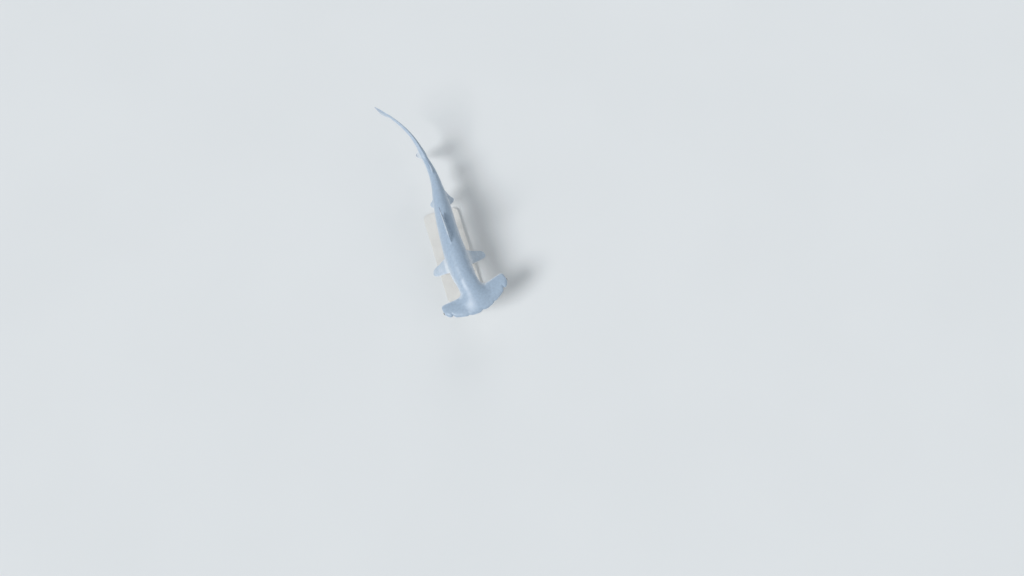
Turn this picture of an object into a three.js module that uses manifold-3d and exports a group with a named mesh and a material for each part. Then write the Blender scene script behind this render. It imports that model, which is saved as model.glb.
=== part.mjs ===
// A scalloped hammerhead shark as a still, life-size museum model on a plain display stand.
// Millimetres, +Z up. The origin is the middle of the underside of the stand's base.
// The nose points towards -Y and the shark's left side towards +X.
// The shark is shaped straight first, by three measures in percent of its total length:
// how far back from the snout, how far to the left of the spine and how far above it.
// The spine then bends it to its swimming pose.

import * as THREE from 'three';
import Module from 'manifold-3d';

const wasm = await Module();
wasm.setup();

// Driving dimensions.
const TOTAL_LENGTH = 2400;
const PERCENT = TOTAL_LENGTH / 100;
const SPINE_HEIGHT = 385;
const GAP = 0.3;

// The way the snout side of each length of spine points, in degrees to the left.
const HEADING = [[0, 12], [12, 12], [22, 3], [33, 0], [45, -3.5], [55, -2.5], [65, 6], [75, 17], [86, 39],
  [95, 48], [100, 48.5]];
// How far the body leans over to its right at each station, in degrees.
const BANK = [[0, 6], [46, 6], [75, 0], [100, 0]];

// Body, in percent: half width, height of the back and depth of the belly at each station.
const BODY_WIDTH = [[0, 3], [3, 6], [6, 7.3], [8, 6.4], [9.7, 5.2], [10.5, 4.75], [12, 4.5], [14, 4.4],
  [20, 4.6], [25, 4.7], [32, 4.3], [38, 4], [46, 3.6], [51, 3.2], [58, 2.3], [65, 1.7], [71.2, 1.2]];
const BACK_HEIGHT = [[0, 0], [2, 1.2], [5, 2.5], [9, 3.7], [12, 4.15], [14.5, 4.6], [20, 5.6], [29, 6.3],
  [38, 6], [49, 5.2], [60, 3.6], [66, 2.5], [70, 1.75], [71.2, 1.9]];
const BELLY_DEPTH = [[0, 0], [3, 0.9], [5, 1.7], [9, 2.8], [14, 4], [22, 5.5], [30, 6], [40, 5.6], [49, 4.6],
  [60, 2.9], [68, 2], [71.2, 1.8]];
// How the body's arch falls away to the side: a soft bell between the lobes, a round back behind.
const ARCH_POWER = [[0, 1.3], [7, 1.3], [9.7, 0.75], [11.5, 0.5], [14, 0.5]];
const BELLY_SQUARENESS = 2.25;
const SIDE_COLUMNS = 20;

// Where the body is parted, in percent.
const HEAD_END = 14.5;
const GILL_END = 28.5;
const TRUNK_END = 58;
const STALK_END = 71.2;

// Head, in percent: plan outline of the hammer.
const NECK_HALF = 5.2;
const NECK_STATION = 9.7;
const LOBE_END = 14;
const LOBE_CORNER_CUT = 0.8;
const LOBE_FLARE = 0.12;
const ARCH_DEPTH = 4.3;
const ARCH_REACH = 12.5;
const ARCH_CURVE = 1.9;
const REAR_SWEEP = 0.6;
const MEDIAN_NOTCH = { at: 0, depth: 0.5, half: 1.15 };
const SIDE_NOTCH = { at: 5.6, depth: 0.36, half: 0.95 };
const NOSTRIL_NOTCH = { at: 11.4, depth: 0.85, half: 0.6 };
const LOBE_TOP = [[0, 1.45], [6, 1.2], [11, 1.25], [14, 1.3]];
const LOBE_BOTTOM = [[0, 1.2], [6, 1.05], [11, 1.15], [14, 1.25]];
const LOBE_SECTION = { lead: 0.6, roundness: 0.75, endBluntness: 14 };
const HAMMER_DROP = [[0, -0.5], [9, -0.5], [14, 0]];
const LOBE_DROOP = 0.35;
const HEAD_ROWS = 13;

// Eye, nostril and mouth, in percent.
const EYE = { back: 6.9, left: 13.5, radius: 0.82, swell: 0.16 };
const LID = { left: 13.88, ring: 0.72, thickness: 0.15 };
const NOSTRIL = { left: 11.45, halfLength: 0.75, halfHeight: 0.17, depth: 0.5, below: 0.18 };
const NARIAL_GROOVE = { from: 10.8, to: 8.2, half: 0.1, below: 0.3 };
const MOUTH = { front: 6.4, length: 3, half: 3.4, turn: 80, width: 0.12, depth: 0.45 };
const LIP = { offset: 0.3, radius: 0.22 };
const JAW = { bulge: 0.5, rim: 0.5, throat: 6, fadeFrom: 9, fadeTo: 14 };

// Gills, in percent.
const GILL = { first: 16.4, pitch: 1.3, count: 5, low: -2.3, high: 1.5, taper: 0.7, rise: 0.2, groove: 0.16,
  lip: 0.05, open: 0.1 };

// Display stand.
const BASE = { length: 1000, width: 360, thickness: 30, corner: 60, chamfer: 3 };
const ROD_STATIONS = { front: 23.5, rear: 42 };
const ROD_RADIUS = 12.5;
const COLLAR = { radius: 36, thickness: 14, chamfer: 3 };
const SADDLE = { radius: 34, depth: 30 };

const radians = THREE.MathUtils.degToRad;

// A smooth curve through a few stations, which never swings past them.
function through(stations, x, column = 1) {
  const last = stations.length - 1;
  if (x <= stations[0][0]) return stations[0][column];
  if (x >= stations[last][0]) return stations[last][column];
  let i = 0;
  while (x > stations[i + 1][0]) i += 1;
  const run = (k) => stations[k + 1][0] - stations[k][0];
  const slope = (k) => (stations[k + 1][column] - stations[k][column]) / run(k);
  const bend = (k) => {
    if (k === 0) return slope(0);
    if (k === last) return slope(last - 1);
    const product = slope(k - 1) * slope(k);
    return product <= 0 ? 0 : 2 * product / (slope(k - 1) + slope(k));
  };
  const t = (x - stations[i][0]) / run(i);
  const start = stations[i][column];
  const rise = stations[i + 1][column] - start;
  const into = bend(i) * run(i);
  const out = bend(i + 1) * run(i);
  return start + t * (into + t * (3 * rise - 2 * into - out + t * (into + out - 2 * rise)));
}

// The spine, as one polyline of short steps seen from above.
const SPINE_STEPS = 1000;
const spine = [new THREE.Vector2(0, 0)];
for (let i = 0; i < SPINE_STEPS; i += 1) {
  const angle = radians(through(HEADING, (i + 0.5) * 100 / SPINE_STEPS));
  const forward = new THREE.Vector2(-Math.sin(angle), Math.cos(angle));
  spine.push(spine[i].clone().addScaledVector(forward, TOTAL_LENGTH / SPINE_STEPS));
}

function spinePoint(back) {
  const at = THREE.MathUtils.clamp(back, 0, 99.999) * SPINE_STEPS / 100;
  const i = Math.floor(at);
  return spine[i].clone().lerp(spine[i + 1], at - i);
}

const baseCentre = spinePoint((ROD_STATIONS.front + ROD_STATIONS.rear) / 2);

function banked(back, left, up) {
  const bank = radians(through(BANK, back));
  return {
    over: left * Math.cos(bank) - up * Math.sin(bank),
    high: up * Math.cos(bank) + left * Math.sin(bank),
  };
}

// From the straight shark, in percent, to its place in the pose, in millimetres.
function place(back, left, up) {
  const angle = radians(through(HEADING, back));
  const point = spinePoint(back).sub(baseCentre);
  const { over, high } = banked(back, left, up);
  return new THREE.Vector3(
    point.x + PERCENT * over * Math.cos(angle),
    point.y + PERCENT * over * Math.sin(angle),
    SPINE_HEIGHT + PERCENT * high,
  );
}

// The same for a paired fin, which keeps its shape and only takes the turn of the spine at its root.
function placeAtRoot(root) {
  const angle = radians(through(HEADING, root));
  const origin = place(root, 0, 0);
  return (back, left, up) => {
    const { over, high } = banked(root, left, up);
    return new THREE.Vector3(
      origin.x + PERCENT * (over * Math.cos(angle) - (back - root) * Math.sin(angle)),
      origin.y + PERCENT * (over * Math.sin(angle) + (back - root) * Math.cos(angle)),
      origin.z + PERCENT * high,
    );
  };
}

// Faces and solids.
function surface(points, faces) {
  const geometry = new THREE.BufferGeometry();
  const flat = points.flatMap((point) => [point.x, point.y, point.z]);
  geometry.setAttribute('position', new THREE.Float32BufferAttribute(flat, 3));
  geometry.setIndex(faces.flat());
  return geometry;
}

// A skin round a row of rings with as many points each, closed by a fan at both ends.
function loft(rings) {
  const count = rings[0].length;
  const points = rings.flat();
  const faces = [];
  for (let i = 0; i + 1 < rings.length; i += 1) {
    for (let j = 0; j < count; j += 1) {
      const a = i * count + j;
      const b = i * count + (j + 1) % count;
      faces.push([a, b + count, b], [a, a + count, b + count]);
    }
  }
  const ends = [[rings[0], 0, false], [rings[rings.length - 1], points.length - count, true]];
  ends.forEach(([ring, first, end]) => {
    const centre = ring.reduce((sum, point) => sum.add(point), new THREE.Vector3()).divideScalar(count);
    const hub = points.push(centre) - 1;
    for (let j = 0; j < count; j += 1) {
      const a = first + j;
      const b = first + (j + 1) % count;
      faces.push(end ? [hub, b, a] : [hub, a, b]);
    }
  });
  return surface(points, faces);
}

function weld(geometry) {
  const position = geometry.getAttribute('position');
  const index = geometry.getIndex();
  const corners = index ? Array.from(index.array) : Array.from({ length: position.count }, (_, i) => i);
  const places = new Map();
  const points = [];
  const moved = corners.map((corner) => {
    const point = new THREE.Vector3().fromBufferAttribute(position, corner);
    const key = [point.x, point.y, point.z].map((value) => Math.round(value * 1000)).join(' ');
    if (!places.has(key)) places.set(key, points.push(point) - 1);
    return places.get(key);
  });
  const faces = [];
  for (let i = 0; i < moved.length; i += 3) {
    const [a, b, c] = moved.slice(i, i + 3);
    if (a !== b && b !== c && c !== a) faces.push([a, b, c]);
  }
  return surface(points, faces);
}

function solid(geometry) {
  const welded = weld(geometry);
  const mesh = new wasm.Mesh({
    numProp: 3,
    vertProperties: new Float32Array(welded.getAttribute('position').array),
    triVerts: new Uint32Array(welded.getIndex().array),
  });
  return new wasm.Manifold(mesh);
}

// Back from a joined or cut solid: only its largest closed surface is kept.
function largest(body) {
  const pieces = body.decompose().sort((a, b) => b.volume() - a.volume());
  const mesh = pieces[0].getMesh();
  const geometry = new THREE.BufferGeometry();
  geometry.setAttribute('position', new THREE.Float32BufferAttribute(Array.from(mesh.vertProperties), 3));
  geometry.setIndex(Array.from(mesh.triVerts));
  return geometry;
}

// The same body with every face moved outwards by a small gap.
function inflate(geometry, amount = GAP) {
  const welded = weld(geometry);
  welded.computeVertexNormals();
  const position = welded.getAttribute('position');
  const normal = welded.getAttribute('normal');
  for (let i = 0; i < position.count; i += 1) {
    const point = new THREE.Vector3().fromBufferAttribute(position, i);
    point.addScaledVector(new THREE.Vector3().fromBufferAttribute(normal, i), amount);
    position.setXYZ(i, point.x, point.y, point.z);
  }
  return welded;
}

function cutClear(geometry, ...neighbours) {
  return largest(neighbours.reduce((body, other) => body.subtract(solid(inflate(other))), solid(geometry)));
}

// Body sections. The seam is the widest line of the body, from which back and belly arch away.
const clamp = THREE.MathUtils.clamp;

function seamHeight(back, left) {
  return through(HAMMER_DROP, back) - LOBE_DROOP * (left / LOBE_END) ** 2;
}

function bodyTop(back, left) {
  const side = clamp(Math.abs(left) / through(BODY_WIDTH, back), 0, 1);
  return through(BACK_HEIGHT, back) * (1 - side ** 2) ** through(ARCH_POWER, back);
}

function bodyBottom(back, left) {
  const side = clamp(Math.abs(left) / through(BODY_WIDTH, back), 0, 1);
  const power = through(ARCH_POWER, back) * 2 / BELLY_SQUARENESS;
  return through(BELLY_DEPTH, back) * (1 - side ** BELLY_SQUARENESS) ** power;
}

// The flap in front of each gill slit rises slowly and drops into the slit at its edge.
function gillSwell(back, up) {
  const height = clamp((up - GILL.low) / GILL.taper, 0, 1) * clamp((GILL.high - up) / GILL.taper, 0, 1);
  const flap = (back - GILL.first) / GILL.pitch + 1;
  if (flap < 0 || flap > GILL.count) return 0;
  const along = flap - Math.floor(flap);
  const inSlit = flap >= 1 && along < GILL.open;
  const opening = (GILL.groove + GILL.lip) * along / GILL.open - GILL.groove;
  return height * (inSlit ? opening : GILL.rise * along ** 2);
}

function bodyRing(back) {
  const ring = [];
  const seam = seamHeight(back, 0);
  for (let j = 0; j < 2 * SIDE_COLUMNS; j += 1) {
    const angle = j * Math.PI / SIDE_COLUMNS;
    const left = through(BODY_WIDTH, back) * Math.cos(angle);
    const upper = j <= SIDE_COLUMNS;
    const up = seam + (upper ? bodyTop(back, left) : -bodyBottom(back, left));
    const outwards = Math.sign(Math.cos(angle)) * Math.abs(Math.cos(angle)) ** 0.5;
    ring.push(place(back, left + outwards * gillSwell(back, up), up));
  }
  return ring;
}

function bodyLength(from, to, stations) {
  const half = GAP / PERCENT / 2;
  return loft([from + half, ...stations, to - half].map(bodyRing));
}

function evenly(from, to, count) {
  return Array.from({ length: count }, (_, i) => from + (to - from) * (i + 1) / (count + 1));
}

// Rings at each slit: on the flap, at its edge, at the bottom of the slit and where the next flap begins.
const SLIT_RINGS = [-0.45, -0.02, 0.01, 0.14];
const slitStations = [];
for (let k = 0; k < GILL.count; k += 1) {
  SLIT_RINGS.forEach((ring) => slitStations.push(GILL.first + k * GILL.pitch + ring));
}
const lastSlit = GILL.first + (GILL.count - 1) * GILL.pitch;

// Head plan: front edge with its notches, rear edge and the ends of the lobes.
function notch({ at, depth, half }, left) {
  return depth * Math.exp(-(((Math.abs(left) - at) / half) ** 2) * 2);
}

function frontEdge(left) {
  const arch = ARCH_DEPTH * (Math.abs(left) / ARCH_REACH) ** ARCH_CURVE;
  return arch + notch(MEDIAN_NOTCH, left) + notch(SIDE_NOTCH, left) + notch(NOSTRIL_NOTCH, left);
}

function rearEdge(left) {
  return NECK_STATION + REAR_SWEEP * THREE.MathUtils.smoothstep(Math.abs(left), NECK_HALF, LOBE_END);
}

// How far out the lobe reaches along its end, which swells a little round the eye.
function lobeEnd(chord) {
  const corners = LOBE_CORNER_CUT * Math.abs(2 * chord - 1) ** 4;
  const eyeChord = (EYE.back - frontEdge(EYE.left)) / (rearEdge(EYE.left) - frontEdge(EYE.left));
  const swell = EYE.swell * Math.exp(-(((chord - eyeChord) / 0.16) ** 2));
  return LOBE_END - corners + LOBE_FLARE * (chord - 0.5) + swell;
}

// Thickness of the lobe above and below its middle, from front edge to rear edge.
function lobeShape(back, left, reach) {
  const chord = clamp((back - frontEdge(left)) / (rearEdge(left) - frontEdge(left)), 0, 1);
  const section = Math.sin(Math.PI * chord ** LOBE_SECTION.lead) ** LOBE_SECTION.roundness;
  return section * Math.sqrt(1 - reach ** LOBE_SECTION.endBluntness);
}

// The mouth is a low arch under the head: how far a place lies inside its line, in percent.
function mouthLine(turn) {
  const angle = turn * radians(MOUTH.turn);
  return { back: MOUTH.front + MOUTH.length * (1 - Math.cos(angle)), left: MOUTH.half * Math.sin(angle) };
}

function jawSwell(back, left) {
  const fromCorners = back - MOUTH.front - MOUTH.length;
  const length = fromCorners > 0 ? JAW.throat : MOUTH.length;
  const inside = 1 - Math.hypot(fromCorners / length, left / MOUTH.half);
  const fade = 1 - THREE.MathUtils.smoothstep(back, JAW.fadeFrom, JAW.fadeTo);
  return JAW.bulge * THREE.MathUtils.smoothstep(inside, 0, JAW.rim) * fade;
}

function headTop(back, left, reach) {
  const lobe = through(LOBE_TOP, Math.abs(left)) * lobeShape(back, left, reach);
  return seamHeight(back, left) + Math.hypot(lobe, bodyTop(back, left));
}

function headBottom(back, left, reach) {
  const lobe = through(LOBE_BOTTOM, Math.abs(left)) * lobeShape(back, left, reach);
  return seamHeight(back, left) - Math.hypot(lobe, bodyBottom(back, left)) - jawSwell(back, left);
}

// Columns of the head from the end of the left lobe to the end of the right one.
// The middle ones, between the two neck columns, run on into the body.
const LOBE_COLUMNS = [...evenly(0, 0.6, 5), ...evenly(0.55, 0.84, 6), 0.84, 0.89, 0.935, 0.968, 0.99, 1];
const leftLobe = [...LOBE_COLUMNS].reverse().map((reach) => ({ side: 1, reach }));
const rightLobe = LOBE_COLUMNS.map((reach) => ({ side: -1, reach }));
const middle = Array.from({ length: SIDE_COLUMNS + 1 }, (_, j) => {
  return { side: 0, turn: j * Math.PI / SIDE_COLUMNS };
});
const headColumns = [...leftLobe, ...middle, ...rightLobe];
const neckRows = [10.1, 10.6, 11.2, 12, 13, HEAD_END - GAP / PERCENT / 2];

function headPlan(row, column) {
  if (row > HEAD_ROWS) {
    const back = neckRows[row - HEAD_ROWS - 1];
    return { back, left: through(BODY_WIDTH, back) * Math.cos(column.turn), reach: 0 };
  }
  const along = row / HEAD_ROWS;
  const chord = (1 - Math.cos(Math.PI * along)) / 2;
  const end = lobeEnd(chord);
  const left = column.side === 0
    ? NECK_HALF * Math.cos(column.turn)
    : column.side * (NECK_HALF + (end - NECK_HALF) * column.reach);
  const back = frontEdge(left) + (rearEdge(left) - frontEdge(left)) * chord;
  return { back, left, reach: column.side === 0 ? 0 : column.reach };
}

function headSolid() {
  const points = [];
  const faces = [];
  const top = [];
  const bottom = [];
  const rows = HEAD_ROWS + neckRows.length;
  const inNeck = (j) => j >= leftLobe.length && j < leftLobe.length + middle.length;
  const onNeckSide = (j) => j === leftLobe.length || j === leftLobe.length + middle.length - 1;
  for (let i = 0; i <= rows; i += 1) {
    top.push([]);
    bottom.push([]);
    headColumns.forEach((column, j) => {
      if (i > HEAD_ROWS && !inNeck(j)) return;
      const { back, left, reach } = headPlan(i, column);
      const lobeRim = i === 0 || reach === 1 || (i === HEAD_ROWS && !inNeck(j));
      if (lobeRim || (i >= HEAD_ROWS && onNeckSide(j))) {
        top[i][j] = points.push(place(back, left, seamHeight(back, left))) - 1;
        bottom[i][j] = top[i][j];
      } else {
        top[i][j] = points.push(place(back, left, headTop(back, left, reach))) - 1;
        bottom[i][j] = points.push(place(back, left, headBottom(back, left, reach))) - 1;
      }
    });
  }
  const square = (grid, i, j, flip) => {
    const corners = [grid[i][j], grid[i][j + 1], grid[i + 1][j + 1], grid[i + 1][j]];
    [[0, 1, 2], [0, 2, 3]].forEach((three) => {
      const [a, b, c] = three.map((k) => corners[k]);
      if (a !== b && b !== c && c !== a) faces.push(flip ? [a, c, b] : [a, b, c]);
    });
  };
  for (let i = 0; i < rows; i += 1) {
    for (let j = 0; j + 1 < headColumns.length; j += 1) {
      if (i >= HEAD_ROWS && !(inNeck(j) && inNeck(j + 1))) continue;
      square(top, i, j, true);
      square(bottom, i, j, false);
    }
  }
  for (let j = leftLobe.length; j + 1 < leftLobe.length + middle.length; j += 1) {
    square([top[rows], bottom[rows]], 0, j, true);
  }
  return surface(points, faces);
}

// A cord of small square or round sections along a path, pointed at both ends.
function sweep(path, sectionAt) {
  const rings = path.slice(1, -1).map((point, i) => {
    const along = path[i + 2].clone().sub(path[i]).normalize();
    return sectionAt(point, along, (i + 1) / (path.length - 1));
  });
  const shrink = (ring, point) => ring.map((corner) => corner.clone().lerp(point, 0.98));
  return loft([shrink(rings[0], path[0]), ...rings, shrink(rings[rings.length - 1], path[path.length - 1])]);
}

const UP = new THREE.Vector3(0, 0, 1);

function bladeSection(halfWidth, halfDepth) {
  return (point, along) => {
    const side = along.clone().cross(UP).normalize();
    return [
      point.clone().addScaledVector(side, halfWidth),
      point.clone().addScaledVector(UP, halfDepth),
      point.clone().addScaledVector(side, -halfWidth),
      point.clone().addScaledVector(UP, -halfDepth),
    ];
  };
}

function roundSection(radius, corners) {
  return (point, along, way) => {
    const side = along.clone().cross(UP).normalize();
    const size = radius * Math.sin(Math.PI * way) ** 0.4;
    return Array.from({ length: corners }, (_, k) => {
      const angle = 2 * Math.PI * k / corners;
      const corner = point.clone().addScaledVector(side, size * Math.cos(angle));
      return corner.addScaledVector(UP, size * Math.sin(angle));
    });
  };
}

const MOUTH_STEPS = 22;

function mouthPath(offset, sink) {
  return Array.from({ length: MOUTH_STEPS + 1 }, (_, i) => {
    const line = mouthLine(2 * i / MOUTH_STEPS - 1);
    const outwards = 1 + offset / MOUTH.half;
    const left = line.left * outwards;
    const back = MOUTH.front + MOUTH.length - (MOUTH.front + MOUTH.length - line.back) * outwards;
    return place(back, left, headBottom(back, left, 0) + sink);
  });
}

function eyeball(side) {
  const centre = place(EYE.back, side * EYE.left, seamHeight(EYE.back, EYE.left));
  return new THREE.SphereGeometry(EYE.radius * PERCENT, 16, 10).translate(centre.x, centre.y, centre.z);
}

function eyelid(side) {
  const ring = new THREE.TorusGeometry(LID.ring * PERCENT, LID.thickness * PERCENT, 5, 20);
  const bank = radians(through(BANK, EYE.back));
  ring.rotateY(Math.PI / 2 - bank).rotateZ(radians(through(HEADING, EYE.back)));
  const centre = place(EYE.back, side * LID.left, seamHeight(EYE.back, LID.left));
  return ring.translate(centre.x, centre.y, centre.z);
}

function nostril(side) {
  const back = frontEdge(NOSTRIL.left);
  const slit = new THREE.SphereGeometry(PERCENT, 12, 8);
  slit.scale(NOSTRIL.halfLength, NOSTRIL.depth, NOSTRIL.halfHeight);
  const slope = (frontEdge(NOSTRIL.left + 1.2) - frontEdge(NOSTRIL.left - 1.2)) / 2.4;
  slit.rotateZ(side * Math.atan(slope)).rotateY(-radians(through(BANK, back)));
  slit.rotateZ(radians(through(HEADING, back)));
  const centre = place(back, side * NOSTRIL.left, seamHeight(back, NOSTRIL.left) - NOSTRIL.below);
  return slit.translate(centre.x, centre.y, centre.z);
}

// The shallow groove that leads from the nostril towards the middle, just under the front edge.
function narialGroove(side) {
  const path = Array.from({ length: 9 }, (_, i) => {
    const left = NARIAL_GROOVE.from + (NARIAL_GROOVE.to - NARIAL_GROOVE.from) * i / 8;
    const back = frontEdge(left) + 0.02;
    return place(back, side * left, seamHeight(back, left) - NARIAL_GROOVE.below);
  });
  return sweep(side > 0 ? path : path.reverse(), roundSection(NARIAL_GROOVE.half * PERCENT, 5));
}

function headNode() {
  const added = [eyelid(1), eyelid(-1), mouthPath(LIP.offset, 0), mouthPath(-LIP.offset, 0)]
    .map((form) => (Array.isArray(form) ? sweep(form, roundSection(LIP.radius * PERCENT, 5)) : form));
  const mouthCut = sweep(mouthPath(0, 0), bladeSection(MOUTH.width * PERCENT, MOUTH.depth * PERCENT));
  const taken = [mouthCut, nostril(1), nostril(-1), narialGroove(1), narialGroove(-1),
    inflate(eyeball(1)), inflate(eyeball(-1))];
  const joined = added.reduce((body, form) => body.add(solid(form)), solid(headSolid()));
  return largest(taken.reduce((body, form) => body.subtract(solid(form)), joined));
}

// Fins. Each row of a fin runs straight from its front edge to its rear edge, and the rear edge
// first follows the inner margin to the free rear tip and then the hind margin up to the apex.
// Both faces are split into triangles alike.
const FIN_ROWS = [0, 0.04, 0.08, 0.13, 0.2, 0.29, 0.4, 0.53, 0.66, 0.79, 0.89, 0.96, 1];
const FIN_CHORD = [0, 0.015, 0.07, 0.18, 0.33, 0.5, 0.68, 0.86, 1];

// Half thickness along the chord: round in front, fullest near a third, thin behind.
function foil(chord) {
  const root = 0.2969 * Math.sqrt(chord) - 0.126 * chord;
  return 10 * (root - 0.3516 * chord ** 2 + 0.2843 * chord ** 3 - 0.1036 * chord ** 4);
}

// The hind edge of a fin stays this thick, which is reached a little behind the front edge.
const EDGE_HALF = 0.028;

function edge(chord) {
  return EDGE_HALF * Math.min(1, chord * 8);
}

function finSolid(rows, chordSteps, rowAt, put) {
  const points = [];
  const above = [];
  const below = [];
  rows.forEach((row) => {
    const { front, rear, half } = rowAt(row);
    const over = [];
    const under = [];
    chordSteps.forEach((chord, j) => {
      const x = front[0] + (rear[0] - front[0]) * chord;
      const y = front[1] + (rear[1] - front[1]) * chord;
      const thick = half(chord);
      over.push(points.push(put(x, y, thick)) - 1);
      under.push(j === 0 ? over[0] : points.push(put(x, y, -thick)) - 1);
    });
    above.push(over);
    below.push(under);
  });
  const faces = [];
  const square = (a, b, c, d) => {
    [[a, b, c], [a, c, d]].forEach(([p, q, r]) => {
      if (p !== q && q !== r && r !== p) faces.push([p, q, r]);
    });
  };
  const steps = chordSteps.length - 1;
  for (let i = 0; i + 1 < rows.length; i += 1) {
    for (let j = 0; j < steps; j += 1) {
      const [a, b, c, d] = [above[i][j], above[i][j + 1], above[i + 1][j + 1], above[i + 1][j]];
      square(a, b, c, d);
      const [e, f, g, h] = [below[i][j], below[i][j + 1], below[i + 1][j + 1], below[i + 1][j]];
      square(g, f, e, e);
      square(h, g, e, e);
    }
    square(above[i][steps], below[i][steps], below[i + 1][steps], above[i + 1][steps]);
  }
  for (let j = 0; j < steps; j += 1) {
    square(below[0][j], below[0][j + 1], above[0][j + 1], above[0][j]);
    const last = rows.length - 1;
    square(above[last][j], above[last][j + 1], below[last][j + 1], below[last][j]);
  }
  return surface(points, faces);
}

// A fin that stands on the body: the outline starts at the body and is sunk into it by one row.
function bodyFin(shape, put) {
  const rowAt = (row) => {
    const sunk = row < 0;
    const along = Math.max(row, 0);
    const front = [through(shape.front, along, 1), through(shape.front, along, 2)];
    const rear = [through(shape.rear, along, 1), through(shape.rear, along, 2)];
    if (sunk) {
      front[1] -= shape.sink;
      rear[1] -= shape.sink;
    }
    const flare = 1 + shape.flare * Math.exp(-along / 0.045);
    const full = (shape.tipHalf + (shape.rootHalf - shape.tipHalf) * (1 - along) ** 0.9) * flare;
    return { front, rear, half: (chord) => full * foil(chord) + edge(chord) };
  };
  return finSolid([-1, ...FIN_ROWS], FIN_CHORD, rowAt, put);
}

const FIN_COMMON = { sink: 0.75, flare: 0.5 };

const FIRST_DORSAL = { ...FIN_COMMON, origin: 29, rootHalf: 0.52, tipHalf: 0.09,
  front: [[0, 0, 0], [0.07, 0.95, 0.95], [0.2, 2.6, 2.7], [0.42, 5.2, 6], [0.66, 7.5, 9.5], [0.88, 9.2, 12],
    [1, 10.1, 12.85]],
  rear: [[0, 10, 0], [0.07, 13.4, 0.75], [0.2, 11.8, 2.2], [0.42, 10.8, 5], [0.66, 10.6, 8.6],
    [0.88, 11, 11.6], [1, 10.8, 12.8]] };

const SECOND_DORSAL = { ...FIN_COMMON, origin: 62.2, rootHalf: 0.25, tipHalf: 0.06,
  front: [[0, 0, 0], [0.2, 0.7, 0.55], [0.6, 2.1, 1.65], [0.9, 3.2, 2.4], [1, 3.8, 2.6]],
  rear: [[0, 3.6, 0], [0.12, 7.9, 0.5], [0.35, 5.7, 0.9], [0.65, 4.5, 1.6], [0.9, 4.4, 2.3],
    [1, 4.2, 2.55]] };

const ANAL = { ...FIN_COMMON, origin: 59.4, rootHalf: 0.28, tipHalf: 0.06,
  front: [[0, 0, 0], [0.2, 1, 0.85], [0.6, 3, 2.6], [0.9, 4.9, 3.7], [1, 5.6, 3.9]],
  rear: [[0, 6.1, 0], [0.12, 8.9, 0.75], [0.35, 6.9, 1.2], [0.62, 6, 2.1], [0.88, 6.1, 3.3], [1, 6, 3.85]] };

const PECTORAL = { ...FIN_COMMON, origin: 20.8, rootHalf: 0.62, tipHalf: 0.1, sink: 1.6,
  front: [[0, 0, 0], [0.08, 0.35, 0.8], [0.22, 0.9, 2.2], [0.45, 1.6, 4.5], [0.68, 2.3, 6.8],
    [0.84, 2.95, 8.4], [0.94, 3.65, 9.25], [1, 4.4, 9.6]],
  rear: [[0, 5.2, 0], [0.1, 7.2, 1.1], [0.22, 7, 2.3], [0.45, 6.6, 4.5], [0.68, 6.5, 6.7], [0.84, 6.2, 8.3],
    [0.94, 5.6, 9.2], [1, 4.8, 9.6]] };

const PELVIC = { ...FIN_COMMON, origin: 48.9, rootHalf: 0.3, tipHalf: 0.07, sink: 1,
  front: [[0, 0, 0], [0.2, 0.85, 0.9], [0.6, 2.3, 2.7], [0.88, 3.5, 3.85], [1, 4.1, 4.1]],
  rear: [[0, 5, 0], [0.14, 8.2, 0.9], [0.35, 6.9, 1.7], [0.65, 5.5, 2.9], [0.9, 5, 3.8], [1, 4.7, 4.08]] };

function backFin(shape) {
  return bodyFin(shape, (x, y, thick) => {
    const back = shape.origin + x;
    return place(back, thick, through(BACK_HEIGHT, back) + y);
  });
}

function bellyFin(shape) {
  return bodyFin(shape, (x, y, thick) => {
    const back = shape.origin + x;
    return place(back, -thick, -through(BELLY_DEPTH, back) - y);
  });
}

// Paired fins leave the body low on its side and droop.
const PECTORAL_ROOT = { left: 3.9, up: -2.9, droop: 39.5, rake: 3 };
const PELVIC_ROOT = { left: 1.75, up: -3.6, droop: 38, rake: 2 };

function pairedFin(shape, root, side) {
  const put = placeAtRoot(shape.origin);
  const droop = radians(root.droop);
  const rake = Math.tan(radians(root.rake));
  return bodyFin(shape, (x, y, thick) => {
    const over = -side * thick;
    const left = root.left + y * Math.cos(droop) + over * Math.sin(droop);
    const up = root.up - y * Math.sin(droop) + over * Math.cos(droop) - x * rake;
    return put(shape.origin + x, side * left, up);
  });
}

// Tail fin. The upper lobe carries the spine to its tip, so it starts as thick as the tail stalk.
const TAIL_UPPER = {
  front: [[0, 71.2, 1.9], [0.1, 73.6, 3.3], [0.3, 79, 6.6], [0.55, 86.2, 10.4], [0.78, 92.4, 13],
    [0.92, 96, 14.2], [1, 97.6, 14.35]],
  rear: [[0, 71.2, -1.8], [0.1, 74.2, -1.35], [0.2, 77.1, 0.1], [0.34, 80.4, 3.1], [0.55, 86.2, 7.1],
    [0.68, 90.2, 9.5], [0.74, 91.6, 10.45], [0.79, 93.2, 9.8], [0.84, 94.9, 10], [0.93, 96.8, 12.1],
    [1, 97.9, 14.2]],
  spineHalf: [[0, 1.2], [0.1, 0.95], [0.3, 0.62], [0.6, 0.36], [0.85, 0.2], [1, 0.06]],
  finHalf: [[0, 1], [0.12, 0.3], [0.3, 0.14], [1, 0.04]],
  roundness: [[0, 1], [0.14, 0.25], [0.3, 0]],
  muscleAt: 0.3,
  muscleWide: 0.2,
};
const TAIL_ROWS = [0, 0.03, 0.07, 0.12, 0.17, 0.22, 0.3, 0.4, 0.51, 0.61, 0.68, 0.71, 0.74, 0.77, 0.8,
  0.85, 0.91, 0.96, 1];
const TAIL_CHORD = [0, 0.02, 0.08, 0.17, 0.28, 0.4, 0.53, 0.67, 0.82, 0.94, 1];

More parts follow.
